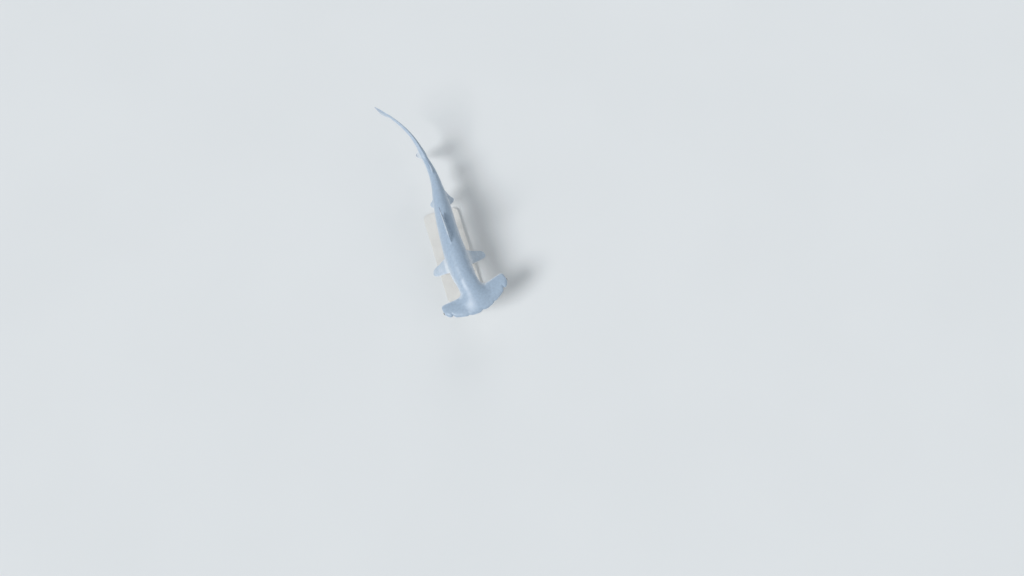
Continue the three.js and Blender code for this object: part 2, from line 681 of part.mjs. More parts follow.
function tailUpper() {
  const rowAt = (row) => {
    const front = [through(TAIL_UPPER.front, row, 1), through(TAIL_UPPER.front, row, 2)];
    const rear = [through(TAIL_UPPER.rear, row, 1), through(TAIL_UPPER.rear, row, 2)];
    if (row === 0) {
      front[0] += GAP / PERCENT / 2;
      rear[0] += GAP / PERCENT / 2;
    }
    const round = through(TAIL_UPPER.roundness, row);
    const half = (chord) => {
      const stalk = Math.sqrt(Math.max(0, 1 - (2 * chord - 1) ** 2));
      const ridge = Math.exp(-(((chord - TAIL_UPPER.muscleAt) / TAIL_UPPER.muscleWide) ** 2));
      const muscle = ridge * Math.min(1, chord * 7);
      const web = foil(chord) * through(TAIL_UPPER.finHalf, row) + edge(chord);
      const flat = through(TAIL_UPPER.spineHalf, row) * muscle + web;
      const full = through(TAIL_UPPER.spineHalf, row) * stalk + EDGE_HALF * chord;
      return full * round + flat * (1 - round) * Math.min(1, 0.2 + chord * 40);
    };
    return { front, rear, half };
  };
  return finSolid(TAIL_ROWS, TAIL_CHORD, rowAt, (back, up, thick) => place(back, thick, up));
}

const TAIL_LOWER = {
  front: [[0, 70.9, -1.2], [0.12, 71.7, -2.1], [0.35, 73.7, -4.3], [0.65, 76.2, -7.3], [0.88, 78.2, -9.4],
    [1, 79.5, -10.1]],
  rear: [[0, 77, 0.5], [0.12, 77.6, -0.6], [0.35, 77.9, -3], [0.65, 78.9, -6.3], [0.88, 79.8, -8.9],
    [1, 79.9, -10]],
  rootHalf: 0.5,
  tipHalf: 0.08,
};

function tailLower() {
  const rowAt = (row) => {
    const front = [through(TAIL_LOWER.front, row, 1), through(TAIL_LOWER.front, row, 2)];
    const rear = [through(TAIL_LOWER.rear, row, 1), through(TAIL_LOWER.rear, row, 2)];
    const full = TAIL_LOWER.tipHalf + (TAIL_LOWER.rootHalf - TAIL_LOWER.tipHalf) * (1 - row) ** 1.2;
    return { front, rear, half: (chord) => full * foil(chord) + edge(chord) };
  };
  return finSolid(FIN_ROWS, FIN_CHORD, rowAt, (back, up, thick) => place(back, -thick, up));
}

// Stand: a flat base with rounded corners, two rods with a collar at the foot and a saddle at the belly.
function standBase() {
  const half = { x: BASE.width / 2 - BASE.chamfer, y: BASE.length / 2 - BASE.chamfer };
  const round = BASE.corner - BASE.chamfer;
  const outline = new THREE.Shape();
  outline.absarc(half.x - round, half.y - round, round, 0, Math.PI / 2);
  outline.absarc(round - half.x, half.y - round, round, Math.PI / 2, Math.PI);
  outline.absarc(round - half.x, round - half.y, round, Math.PI, 1.5 * Math.PI);
  outline.absarc(half.x - round, round - half.y, round, 1.5 * Math.PI, 2 * Math.PI);
  const plate = new THREE.ExtrudeGeometry(outline, {
    depth: BASE.thickness - 2 * BASE.chamfer,
    bevelThickness: BASE.chamfer,
    bevelSize: BASE.chamfer,
    bevelSegments: 1,
    curveSegments: 5,
  });
  return plate.translate(0, 0, BASE.chamfer);
}

function rodAxis(station) {
  return place(station, 0, 0);
}

function saddleBottom(station) {
  return SPINE_HEIGHT - PERCENT * through(BELLY_DEPTH, station) - SADDLE.depth / 3;
}

function upright(profile, station, bottom, turns = 20) {
  const outline = profile.map(([radius, height]) => new THREE.Vector2(radius, height));
  const axis = rodAxis(station);
  return new THREE.LatheGeometry(outline, turns).rotateX(Math.PI / 2).translate(axis.x, axis.y, bottom);
}

function standRod(station) {
  const bottom = BASE.thickness + GAP;
  const height = saddleBottom(station) - GAP - bottom;
  return upright([[0, 0], [ROD_RADIUS, 0], [ROD_RADIUS, height], [0, height]], station, bottom);
}

function standCollar(station) {
  const { radius, thickness, chamfer } = COLLAR;
  const bore = ROD_RADIUS + GAP;
  const profile = [[bore, 0], [radius, 0], [radius, thickness - chamfer], [radius - chamfer, thickness],
    [bore, thickness], [bore, 0]];
  return upright(profile, station, BASE.thickness + GAP);
}

function standSaddle(station, belly) {
  const { radius, depth } = SADDLE;
  const profile = [[0, 0], [radius * 0.55, 0], [radius * 0.9, depth * 0.22], [radius, depth * 0.5],
    [radius, depth], [0, depth]];
  return cutClear(upright(profile, station, saddleBottom(station)), belly);
}

// The assembled model.
const SKIN = new THREE.Color('#8b98a5');
const FIN_SKIN = new THREE.Color('#7f8c99');
const EYE_BLACK = new THREE.Color('#15171a');
const BASE_WHITE = new THREE.Color('#e6e4df');
const ROD_STEEL = new THREE.Color('#b4b7ba');
const SADDLE_RUBBER = new THREE.Color('#3a3c3f');
const skin = () => new THREE.MeshStandardMaterial({ color: SKIN, roughness: 0.42 });
const finSkin = () => new THREE.MeshStandardMaterial({ color: FIN_SKIN, roughness: 0.45 });
const eyeGloss = () => new THREE.MeshStandardMaterial({ color: EYE_BLACK, roughness: 0.08 });
const basePaint = () => new THREE.MeshStandardMaterial({ color: BASE_WHITE, roughness: 0.5 });
const steel = () => new THREE.MeshStandardMaterial({ color: ROD_STEEL, roughness: 0.3, metalness: 1 });
const rubber = () => new THREE.MeshStandardMaterial({ color: SADDLE_RUBBER, roughness: 0.8 });

const model = new THREE.Group();

function addNode(name, geometry, material) {
  const mesh = new THREE.Mesh(geometry, material);
  mesh.name = name;
  model.add(mesh);
  return geometry;
}

addNode('head', headNode(), skin());
const gillStations = [...slitStations, ...evenly(lastSlit, GILL_END, 5)];
const gillRegion = addNode('gill_region', bodyLength(HEAD_END, GILL_END, gillStations), skin());
const trunk = addNode('trunk', bodyLength(GILL_END, TRUNK_END, evenly(GILL_END, TRUNK_END, 12)), skin());
const stalkStations = [...evenly(TRUNK_END, 69, 5), 69, 70, 70.7];
const stalk = addNode('tail_stalk', bodyLength(TRUNK_END, STALK_END, stalkStations), skin());

const upperLobe = addNode('caudal_fin_upper', tailUpper(), finSkin());
addNode('caudal_fin_lower', cutClear(tailLower(), upperLobe, stalk), finSkin());
addNode('first_dorsal_fin', cutClear(backFin(FIRST_DORSAL), trunk), finSkin());
addNode('second_dorsal_fin', cutClear(backFin(SECOND_DORSAL), stalk), finSkin());
addNode('anal_fin', cutClear(bellyFin(ANAL), stalk), finSkin());
[['left', 1], ['right', -1]].forEach(([name, side]) => {
  addNode(`pectoral_fin_${name}`, cutClear(pairedFin(PECTORAL, PECTORAL_ROOT, side), gillRegion), finSkin());
  addNode(`pelvic_fin_${name}`, cutClear(pairedFin(PELVIC, PELVIC_ROOT, side), trunk), finSkin());
  addNode(`eye_${name}`, eyeball(side), eyeGloss());
});

addNode('stand_base', standBase(), basePaint());
[['front', gillRegion], ['rear', trunk]].forEach(([name, belly]) => {
  const station = ROD_STATIONS[name];
  addNode(`stand_rod_${name}`, standRod(station), steel());
  addNode(`stand_collar_${name}`, standCollar(station), steel());
  addNode(`stand_saddle_${name}`, standSaddle(station, belly), rubber());
});

export default model;
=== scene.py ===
import math

import bpy
import bmesh
import numpy as np
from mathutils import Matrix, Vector
from mathutils.bvhtree import BVHTree
from mathutils.kdtree import KDTree


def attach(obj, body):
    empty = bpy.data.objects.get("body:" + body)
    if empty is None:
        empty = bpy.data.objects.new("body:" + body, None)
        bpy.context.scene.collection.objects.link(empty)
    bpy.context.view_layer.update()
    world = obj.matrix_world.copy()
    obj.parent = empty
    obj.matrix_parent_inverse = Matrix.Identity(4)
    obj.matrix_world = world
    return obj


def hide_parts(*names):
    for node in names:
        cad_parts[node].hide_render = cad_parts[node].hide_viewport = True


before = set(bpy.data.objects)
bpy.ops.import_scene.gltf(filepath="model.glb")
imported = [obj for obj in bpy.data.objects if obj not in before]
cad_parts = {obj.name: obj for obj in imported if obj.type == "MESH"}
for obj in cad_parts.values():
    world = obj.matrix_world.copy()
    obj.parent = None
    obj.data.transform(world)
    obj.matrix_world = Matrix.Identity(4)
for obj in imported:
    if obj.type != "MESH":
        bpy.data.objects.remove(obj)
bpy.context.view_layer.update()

# The pose of the shark. The model is shaped straight first and then bent along its spine.
# Its measures are percent of its total length: back from the snout, left of the spine and up.
# The nose points towards -Y, and the origin is under the middle of the stand's base.
TOTAL_LENGTH = 2.4
PERCENT = TOTAL_LENGTH / 100
SPINE_HEIGHT = 0.385
HEADING = [[0, 12], [12, 12], [22, 3], [33, 0], [45, -3.5], [55, -2.5], [65, 6], [75, 17], [86, 39],
           [95, 48], [100, 48.5]]
BANK = [[0, 6], [46, 6], [75, 0], [100, 0]]
ROD_STATIONS = {"front": 23.5, "rear": 42}
SPINE_STEPS = 1000
SPINE_LAST = 99.999


def through(stations, x):
    """A smooth curve through a few stations, which never swings past them."""
    at, value = np.array(stations, float).T
    run = np.diff(at)
    rise = np.diff(value)
    slope = rise / run
    product = slope[:-1] * slope[1:]
    total = slope[:-1] + slope[1:]
    inner = np.where(product > 0, 2 * product / np.where(product > 0, total, 1), 0)
    bend = np.concatenate([slope[:1], inner, slope[-1:]])
    x = np.clip(x, at[0], at[-1])
    i = np.clip(np.searchsorted(at, x) - 1, 0, len(run) - 1)
    t = (x - at[i]) / run[i]
    into = bend[i] * run[i]
    out = bend[i + 1] * run[i]
    return value[i] + t * (into + t * (3 * rise[i] - 2 * into - out + t * (into + out - 2 * rise[i])))


step_angles = np.radians(through(HEADING, (np.arange(SPINE_STEPS) + 0.5) * 100 / SPINE_STEPS))
step_ways = np.stack([-np.sin(step_angles), np.cos(step_angles)], axis=1) * TOTAL_LENGTH / SPINE_STEPS
spine = np.concatenate([[[0, 0]], np.cumsum(step_ways, axis=0)])


def spine_point(back):
    at = np.clip(back, 0, SPINE_LAST) * SPINE_STEPS / 100
    i = np.floor(at).astype(int)
    share = (at - i)[..., None]
    return spine[i] * (1 - share) + spine[i + 1] * share


base_centre = spine_point(np.float64(sum(ROD_STATIONS.values()) / 2))


def banked(back, left, up):
    """The body leans over to its right: what was its left and its up, as level and upright shares."""
    bank = np.radians(through(BANK, back))
    return left * np.cos(bank) - up * np.sin(bank), up * np.cos(bank) + left * np.sin(bank)


def place(back, left, up):
    """From the straight shark to its place in the pose, in metres."""
    back, left, up = np.broadcast_arrays(np.asarray(back, float), left, up)
    angle = np.radians(through(HEADING, back))
    at = spine_point(back) - base_centre
    over, high = banked(back, left, up)
    x = at[..., 0] + PERCENT * over * np.cos(angle)
    y = at[..., 1] + PERCENT * over * np.sin(angle)
    return np.stack([x, y, SPINE_HEIGHT + PERCENT * high], axis=-1)


# The body: one hollow cast of glass fibre in two halves, which meet in a seam along the widest line
# of the body. These are its half width and the heights of back and belly at stations along it.
BODY_WIDTH = [[0, 3], [3, 6], [6, 7.3], [8, 6.4], [9.7, 5.2], [10.5, 4.75], [12, 4.5], [14, 4.4],
              [20, 4.6], [25, 4.7], [32, 4.3], [38, 4], [46, 3.6], [51, 3.2], [58, 2.3], [65, 1.7],
              [71.2, 1.2]]
BACK_HEIGHT = [[0, 0], [2, 1.2], [5, 2.5], [9, 3.7], [12, 4.15], [14.5, 4.6], [20, 5.6], [29, 6.3],
               [38, 6], [49, 5.2], [60, 3.6], [66, 2.5], [70, 1.75], [71.2, 1.9]]
BELLY_DEPTH = [[0, 0], [3, 0.9], [5, 1.7], [9, 2.8], [14, 4], [22, 5.5], [30, 6], [40, 5.6],
               [49, 4.6], [60, 2.9], [68, 2], [71.2, 1.8]]
ARCH_POWER = [[0, 1.3], [7, 1.3], [9.7, 0.75], [11.5, 0.5], [14, 0.5]]
BELLY_SQUARENESS = 2.25


def body_top(back, left):
    side = np.clip(np.abs(left) / through(BODY_WIDTH, back), 0, 1)
    return through(BACK_HEIGHT, back) * (1 - side ** 2) ** through(ARCH_POWER, back)


def body_bottom(back, left):
    side = np.clip(np.abs(left) / through(BODY_WIDTH, back), 0, 1)
    power = through(ARCH_POWER, back) * 2 / BELLY_SQUARENESS
    return through(BELLY_DEPTH, back) * (1 - side ** BELLY_SQUARENESS) ** power


# The hammer: the front of the same cast, a flat wing with a notched and arched front edge and
# blunt ends that carry the eyes. Its middle columns run on into the body, and below them swells
# the jaw. The lobes droop a little, and the skin under them is dotted with pores.
NECK_HALF = 5.2
NECK_STATION = 9.7
NECK_BLEND = (6, 10)
NECK_SIDES = (4, 6.5)
ARCH_DEPTH = 4.3
ARCH_REACH = 12.5
ARCH_CURVE = 1.9
REAR_SWEEP = 0.6
NOTCHES = {"median": (0, 0.5, 1.15), "side": (5.6, 0.36, 0.95), "nostril": (11.4, 0.85, 0.6)}
LOBE_END = 14
LOBE_CORNER_CUT = 0.8
LOBE_CORNER_POWER = 4
LOBE_FLARE = 0.12
LOBE_TOP = [[0, 1.45], [6, 1.2], [11, 1.25], [14, 1.3]]
LOBE_BOTTOM = [[0, 1.2], [6, 1.05], [11, 1.15], [14, 1.25]]
LOBE_LEAD = 0.6
LOBE_ROUNDNESS = 0.75
LOBE_END_BLUNTNESS = 14
LOBE_RIM = 0.5
LOBE_DROOP = 0.35
DROOP_FADE = (11, 16)
HAMMER_DROP = [[0, -0.5], [9, -0.5], [14, 0]]
EYE_BACK = 6.9
EYE_LEFT = 13.5
EYE_SWELL = 0.16
EYE_SWELL_CHORD = 0.16
MOUTH_FRONT = 6.4
MOUTH_LENGTH = 3
MOUTH_HALF = 3.4
THROAT_LENGTH = 6
JAW_BULGE = 0.5
JAW_RIM = 0.5
JAW_FADE = (9, 14)
PORES_ABOVE = 0.35
PORES_BELOW = 1
PORES_FADE = (9, 13)
HEAD_ROWS = 84
MIDDLE_COLUMNS = 56
LOBE_COLUMNS = 46
EVEN_COLUMNS_TO = 0.8


def smoothstep(x, low, high):
    t = np.clip((x - low) / (high - low), 0, 1)
    return t * t * (3 - 2 * t)


def fading(x, low, high):
    return 1 - smoothstep(x, low, high)


def seam_height(back, left):
    droop = LOBE_DROOP * (left / LOBE_END) ** 2 * fading(back, *DROOP_FADE)
    return through(HAMMER_DROP, back) - droop


def front_edge(left):
    arch = ARCH_DEPTH * (np.abs(left) / ARCH_REACH) ** ARCH_CURVE
    for at, depth, half in NOTCHES.values():
        arch = arch + depth * np.exp(-2 * ((np.abs(left) - at) / half) ** 2)
    return arch


def rear_edge(left):
    return NECK_STATION + REAR_SWEEP * smoothstep(np.abs(left), NECK_HALF, LOBE_END)


def lobe_end(chord):
    corners = LOBE_CORNER_CUT * np.abs(2 * chord - 1) ** LOBE_CORNER_POWER
    eye_chord = (EYE_BACK - front_edge(EYE_LEFT)) / (rear_edge(EYE_LEFT) - front_edge(EYE_LEFT))
    swell = EYE_SWELL * np.exp(-((chord - eye_chord) / EYE_SWELL_CHORD) ** 2)
    return LOBE_END - corners + LOBE_FLARE * (chord - 0.5) + swell


def lobe_shape(back, left, reach):
    chord = np.clip((back - front_edge(left)) / (rear_edge(left) - front_edge(left)), 0, 1)
    section = np.sin(np.pi * chord ** LOBE_LEAD) ** LOBE_ROUNDNESS
    return section * np.sqrt(1 - reach ** LOBE_END_BLUNTNESS)


def jaw_swell(back, left):
    from_corners = back - MOUTH_FRONT - MOUTH_LENGTH
    length = np.where(from_corners > 0, THROAT_LENGTH, MOUTH_LENGTH)
    inside = 1 - np.hypot(from_corners / length, left / MOUTH_HALF)
    return JAW_BULGE * smoothstep(inside, 0, JAW_RIM) * fading(back, *JAW_FADE)


def head_top(back, left, reach):
    lobe = through(LOBE_TOP, np.abs(left)) * lobe_shape(back, left, reach)
    return seam_height(back, left) + np.hypot(lobe, body_top(back, left))


def head_bottom(back, left, reach):
    lobe = through(LOBE_BOTTOM, np.abs(left)) * lobe_shape(back, left, reach)
    return seam_height(back, left) - np.hypot(lobe, body_bottom(back, left)) - jaw_swell(back, left)


def head_plan():
    """Columns across the hammer from left to right, and rows from its front edge to its rear edge."""
    inner = np.linspace(0, EVEN_COLUMNS_TO, LOBE_COLUMNS // 2, endpoint=False)[1:]
    last = math.sqrt(1 - EVEN_COLUMNS_TO ** LOBE_END_BLUNTNESS)
    turn = np.linspace(last, 0, LOBE_COLUMNS - len(inner))
    outer = (1 - turn ** 2) ** (1 / LOBE_END_BLUNTNESS)
    reach = np.concatenate([inner, outer])
    turns = np.linspace(0, np.pi, MIDDLE_COLUMNS + 1)
    chord = ((1 - np.cos(np.pi * np.arange(HEAD_ROWS + 1) / HEAD_ROWS)) / 2)[:, None]
    lobe = NECK_HALF + (lobe_end(chord) - NECK_HALF) * reach
    middle = np.repeat(NECK_HALF * np.cos(turns)[None], HEAD_ROWS + 1, axis=0)
    left = np.concatenate([lobe[:, ::-1], middle, -lobe], axis=1)
    reaches = np.concatenate([reach[::-1], np.zeros(MIDDLE_COLUMNS + 1), reach])
    back = front_edge(left) + (rear_edge(left) - front_edge(left)) * chord
    return back, left, np.broadcast_to(reaches, left.shape)


# The trunk and its gills: the cast's rings from the neck to the tail, with five slits on each side
# that were modelled as overlapping flaps of skin. Each flap rises from ring to ring, hangs over the
# slit and drops behind it. The grey reaches further down over the pectoral fins.
STALK_END = 71.2
NECK_RINGS = 24
RING_PITCH = 0.27
GILL_FIRST = 16.4
GILL_PITCH = 1.3
GILL_COUNT = 5
GILL_MIDDLE = -0.4
GILL_REACH = [2.0, 1.95, 1.85, 1.75, 1.6]
GILL_TAPER = 0.68
GILL_RISE = 0.2
GILL_BOW = (0.22, 0.12)
GILL_BOW_REACH = 1.6
GILLS_FROM = (14, 16)
GILLS_TO = (22.4, 25)
GILL_RINGS = [[0.22, 0, 0], [0.42, 0.04, 0], [0.62, 0.2, 0], [0.82, 0.44, 0], [1, 0.72, 0],
              [1.13, 0.9, 0], [1.2, 1, 0.03], [1.24, 0.95, 0.07], [1.26, 0.35, 0.03],
              [1.28, -1.1, -0.14], [1.33, -1.1, -0.05], [1.4, -0.4, 0.02]]
PATCH_TONE = 0.35
PATCH_MIDDLE = 24
PATCH_HALF = 4
PATCH_FROM = (-3.8, -2.4)
PATCH_TO = (-1, 2)


def body_rings():
    """Stations along the body, each with how far its skin stands out and leans back at the gills."""
    neck = np.linspace(NECK_STATION, GILL_FIRST - GILL_PITCH, NECK_RINGS)
    rings = [[back, 0, 0, -1] for back in neck[1:]]
    for k in range(GILL_COUNT):
        start = GILL_FIRST + (k - 1) * GILL_PITCH
        rings += [[start + at, rise, lean, k] for at, rise, lean in GILL_RINGS]
    last = rings[-1][0]
    trunk = np.linspace(last, STALK_END, int((STALK_END - last) / RING_PITCH))
    return np.array(rings + [[back, 0, 0, -1] for back in trunk[1:]])


def body_grid(upper):
    """The upper or lower half of every ring, from the left side over to the right one."""
    back, rise, lean, gill = body_rings().T[:, :, None]
    turns = np.linspace(0, np.pi, MIDDLE_COLUMNS + 1)[None]
    left = through(BODY_WIDTH, back) * np.cos(turns)
    arch = body_top(back, left) if upper else -body_bottom(back, left) - jaw_swell(back, left)
    up = seam_height(back, 0) + arch
    reach = np.array(GILL_REACH)[np.clip(gill, 0, GILL_COUNT - 1).astype(int)]
    from_middle = (up - GILL_MIDDLE) / reach
    opened = np.where(gill >= 0, fading(np.abs(from_middle), GILL_TAPER, 1), 0)
    near_gills = smoothstep(back, *GILLS_FROM) * fading(back, *GILLS_TO)
    bow_at = np.clip(from_middle, -GILL_BOW_REACH, GILL_BOW_REACH)
    outwards = np.sign(np.cos(turns)) * np.abs(np.cos(turns)) ** 0.5
    back = back + near_gills * (GILL_BOW[0] * bow_at ** 2 + GILL_BOW[1] * bow_at) + lean * opened
    left = left + outwards * opened * GILL_RISE * rise
    # How deep in a slit a point lies. The slits get painted shade: dark paint where the openings would lie
    # in shade.
    slit = opened * np.clip(-rise, 0, 1) * np.ones_like(left)
    half = np.where(up > seam_height(back, 0), body_top(back, 0), body_bottom(back, 0))
    patch = np.exp(-((back - PATCH_MIDDLE) / PATCH_HALF) ** 2)
    patch = patch * smoothstep(up, *PATCH_FROM) * fading(up, *PATCH_TO)
    return back, left, up, (up - seam_height(back, 0)) / half + PATCH_TONE * patch, slit


# The upper lobe of the tail fin: a long blade of the same cast that carries on the spine. Its rows
# run from the front edge on top to the hind edge below, first as thick and round as the tail stalk
# and then thin, with the muscle as a ridge near the front edge.
TAIL_FRONT = [[0, 71.2, 1.9], [0.1, 73.6, 3.3], [0.3, 79, 6.6], [0.55, 86.2, 10.4], [0.78, 92.4, 13],
              [0.92, 96, 14.2], [1, 97.6, 14.35]]
TAIL_REAR = [[0, 71.2, -1.8], [0.1, 74.2, -1.35], [0.2, 77.1, 0.1], [0.34, 80.4, 3.1],
             [0.55, 86.2, 7.1], [0.68, 90.2, 9.5], [0.74, 91.6, 10.45], [0.79, 93.2, 9.8],
             [0.84, 94.9, 10], [0.93, 96.8, 12.1], [1, 97.9, 14.2]]
TAIL_SPINE_HALF = [[0, 1.2], [0.1, 0.95], [0.3, 0.62], [0.6, 0.36], [0.85, 0.2], [1, 0.06]]
TAIL_WEB_HALF = [[0, 1], [0.12, 0.3], [0.3, 0.14], [1, 0.04]]
TAIL_ROUNDNESS = [[0, 1], [0.14, 0.25], [0.3, 0]]
TAIL_ROWS = 92
TAIL_ROW_BIAS = 0.06
TAIL_FRONT_ROUND = (0.2, 40)
TAIL_SIDE_ROUND = 8
TAIL_TONE = 0.65
TAIL_TONE_FALL = 0.5
TAIL_DUSK = 0.6
TAIL_DUSK_FROM = 0.5
TAIL_RAYS = 90
MUSCLE_AT = 0.3
MUSCLE_WIDE = 0.2
MUSCLE_RISE = 7
EDGE_HALF = 0.028
EDGE_RISE = 8
FOIL_FULLNESS = 10
FOIL_ROOT = 0.2969
FOIL_POWERS = [(1, -0.126), (2, -0.3516), (3, 0.2843), (4, -0.1036)]


def foil(chord):
    """Half thickness of a fin along its chord: round in front, fullest near a third, thin behind."""
    half = FOIL_ROOT * np.sqrt(chord)
    for power, part in FOIL_POWERS:
        half = half + part * chord ** power
    return FOIL_FULLNESS * half


def tail_grid(upper):
    """The upper or lower half of every row, from the left side over to the right one."""
    even = np.linspace(0, 1, TAIL_ROWS)[1:, None]
    row = even + TAIL_ROW_BIAS * np.sin(2 * np.pi * even) / (2 * np.pi)
    turns = np.linspace(0, np.pi, MIDDLE_COLUMNS + 1)[None]
    chord = (1 - np.sin(turns)) / 2 if upper else (1 + np.sin(turns)) / 2
    front = [through(np.array(TAIL_FRONT)[:, [0, k]], row) for k in (1, 2)]
    rear = [through(np.array(TAIL_REAR)[:, [0, k]], row) for k in (1, 2)]
    back, up = (before + (behind - before) * chord for before, behind in zip(front, rear))
    stalk = np.sqrt(np.clip(1 - (2 * chord - 1) ** 2, 0, 1))
    spine_half = through(TAIL_SPINE_HALF, row)
    muscle = np.exp(-((chord - MUSCLE_AT) / MUSCLE_WIDE) ** 2) * np.minimum(1, chord * MUSCLE_RISE)
    web = foil(chord) * through(TAIL_WEB_HALF, row) + EDGE_HALF * np.minimum(1, chord * EDGE_RISE)
    bluntness, rise = TAIL_FRONT_ROUND
    flat = (spine_half * muscle + web) * np.minimum(1, bluntness + chord * rise)
    full = spine_half * stalk + EDGE_HALF * chord
    roundness = through(TAIL_ROUNDNESS, row)
    half = full * roundness + flat * (1 - roundness)
    half = half * np.minimum(1, TAIL_SIDE_ROUND * np.abs(np.cos(turns)) ** 0.5)
    return back, half * np.sign(np.cos(turns)), up, TAIL_TONE - TAIL_TONE_FALL * chord, row


# The shell of the cast: hammer, trunk and upper tail lobe laid up as one piece in glass fibre and
# closed along the seam, before any fin is set on. The inner corners of the neck are filled round.
SIDE_LINE = [[16, 2.3], [30, 2.2], [50, 1.3], [71.2, 0.2]]
FAR = 9
SAME_POINT = 1e-6
NO_LENGTH = 1e-7
LEAST_PULL = 0.002
NECK_FILLET = 0.045
NECK_ROUNDS = 260


def grid_faces(index, flip):
    """Squares between the rows and columns of a grid of vertex numbers, where all four are real."""
    a, b = index[:-1, :-1], index[:-1, 1:]
    d, c = index[1:, :-1], index[1:, 1:]
    squares = np.stack([a, d, c, b] if flip else [a, b, c, d], axis=-1).reshape(-1, 4)
    return squares[(squares >= 0).all(axis=1)]


def closed_object(name, points, faces):
    """A closed mesh object with its doubles merged and its faces pointing outwards."""
    mesh = bpy.data.meshes.new(name)
    mesh.from_pydata(points.tolist(), [], [list(face) for face in faces])
    work = bmesh.new()
    work.from_mesh(mesh)
    bmesh.ops.remove_doubles(work, verts=work.verts, dist=SAME_POINT)
    bmesh.ops.dissolve_degenerate(work, edges=work.edges, dist=NO_LENGTH)
    bmesh.ops.recalc_face_normals(work, faces=work.faces)
    work.to_mesh(mesh)
    work.free()
    piece = bpy.data.objects.new(name, mesh)
    bpy.context.scene.collection.objects.link(piece)
    return piece


def marked(points, *marks):
    """Points with their marks as further columns."""
    columns = (np.broadcast_to(mark, points.shape[:-1])[..., None] for mark in marks)
    return np.concatenate([points, *columns], -1)


def body_shell():
    """Points, faces and marks of the head, body and upper tail lobe as one closed shell. The marks
    of a point are how far up the flank it lies, how near a fin's tip, how deep in a slit or opening
    for its painted shade, how far above the side line, how full of pores the skin is there, and the
    count of fin rays."""
    head_back, head_left, reach = head_plan()
    first = (head_back.shape[1] - MIDDLE_COLUMNS - 1) // 2
    middle = slice(first, first + MIDDLE_COLUMNS + 1)
    points, marks, grids = [], [], []
    for upper in (True, False):
        up = (head_top if upper else head_bottom)(head_back, head_left, reach)
        seam = seam_height(head_back, head_left)
        rim = np.zeros(up.shape, bool)
        rim[0] = True
        rim[:, [0, -1]] = True
        rim[HEAD_ROWS, :first + 1] = True
        rim[HEAD_ROWS, first + MIDDLE_COLUMNS:] = True
        up = np.where(rim, seam, up)
        body_half = (body_top if upper else body_bottom)(head_back, 0)
        in_neck = smoothstep(head_back, *NECK_BLEND) * fading(np.abs(head_left), *NECK_SIDES)
        above = (up - seam) / (LOBE_RIM + (body_half - LOBE_RIM) * in_neck)
        pored = (PORES_ABOVE if upper else PORES_BELOW) * fading(head_back, *PORES_FADE)
        head = marked(place(head_back, head_left, up), np.clip(above, -1, 1), 0, 0, FAR, pored, 0)
        back, left, up, above, slit = body_grid(upper)
        body = marked(place(back, left, up), above, 0, slit, up - through(SIDE_LINE, back), 0, 0)
        back, left, up, above, row = tail_grid(upper)
        dusky = TAIL_DUSK * smoothstep(row, TAIL_DUSK_FROM, 1)
        tail = marked(place(back, left, up), above, dusky, 0, FAR, 0, row * TAIL_RAYS)
        rows = np.full((len(head) + len(body) + len(tail), *head.shape[1:]), np.nan)
        rows[:len(head)] = head
        rows[len(head):, middle] = np.concatenate([body, tail])
        index = np.full(rows.shape[:2], -1)
        real = ~np.isnan(rows[..., 0])
        index[real] = np.arange(real.sum()) + sum(len(part) for part in points)
        points.append(rows[real][:, :3])
        marks.append(rows[real][:, 3:])
        grids.append(index)
    faces = [*grid_faces(grids[0], True), *grid_faces(grids[1], False)]
    faces += list(grid_faces(np.stack([grid[-1, middle] for grid in grids]), True))
    return np.concatenate(points), faces, np.concatenate(marks)


def edges_of(mesh):
    edges = np.empty(2 * len(mesh.edges), int)
    mesh.edges.foreach_get("vertices", edges)
    return edges.reshape(-1, 2)


def points_of(mesh):
    points = np.empty(3 * len(mesh.vertices))
    mesh.vertices.foreach_get("co", points)
    return points.reshape(-1, 3)


def set_points(mesh, points):
    mesh.vertices.foreach_set("co", points.astype(np.float32).ravel())
    mesh.update()


def soften(values, edges, mask, rounds):
    """Moves values half way to the middle of their neighbours, as far as the mask says."""
    moved = mask > LEAST_PULL
    edges = edges[moved[edges].any(axis=1)]
    used, edges = np.unique(edges, return_inverse=True)
    edges = edges.reshape(-1, 2)
    first, second = edges.T
    part = values[used]
    share = 0.5 * np.where(moved, mask, 0)[used, None] / np.bincount(edges.ravel())[:, None]
    for _ in range(rounds):
        pull = np.empty_like(part)
        for k in range(part.shape[1]):
            step = part[second, k] - part[first, k]
            pull[:, k] = np.bincount(first, step, len(used)) - np.bincount(second, step, len(used))
        part = part + share * pull
    values = values.copy()
    values[used] = part
    return values


def distances(points, targets):
    """How far each point is from the nearest target, and which target that is."""
    tree = KDTree(len(targets))
    for i, target in enumerate(targets):
        tree.insert(target, i)
    tree.balance()
    found = [tree.find(point)[1:] for point in points]
    return np.array([gap for _, gap in found]), np.array([i for i, _ in found])


shell_points, shell_faces, shell_marks = body_shell()
skin = closed_object("shark_skin", shell_points, shell_faces)
skin_points = points_of(skin.data)
neck_corners = [place(NECK_STATION, side * NECK_HALF, seam_height(NECK_STATION, 0)) for side in (1, -1)]
corner_gap = np.min([np.linalg.norm(skin_points - corner, axis=1) for corner in neck_corners], axis=0)
at_corners = np.exp(-(corner_gap / NECK_FILLET) ** 2)
set_points(skin.data, soften(skin_points, edges_of(skin.data), at_corners, NECK_ROUNDS))
skin_points = points_of(skin.data)
sources = [(skin_points, shell_marks[distances(skin_points, shell_points)[1]])]

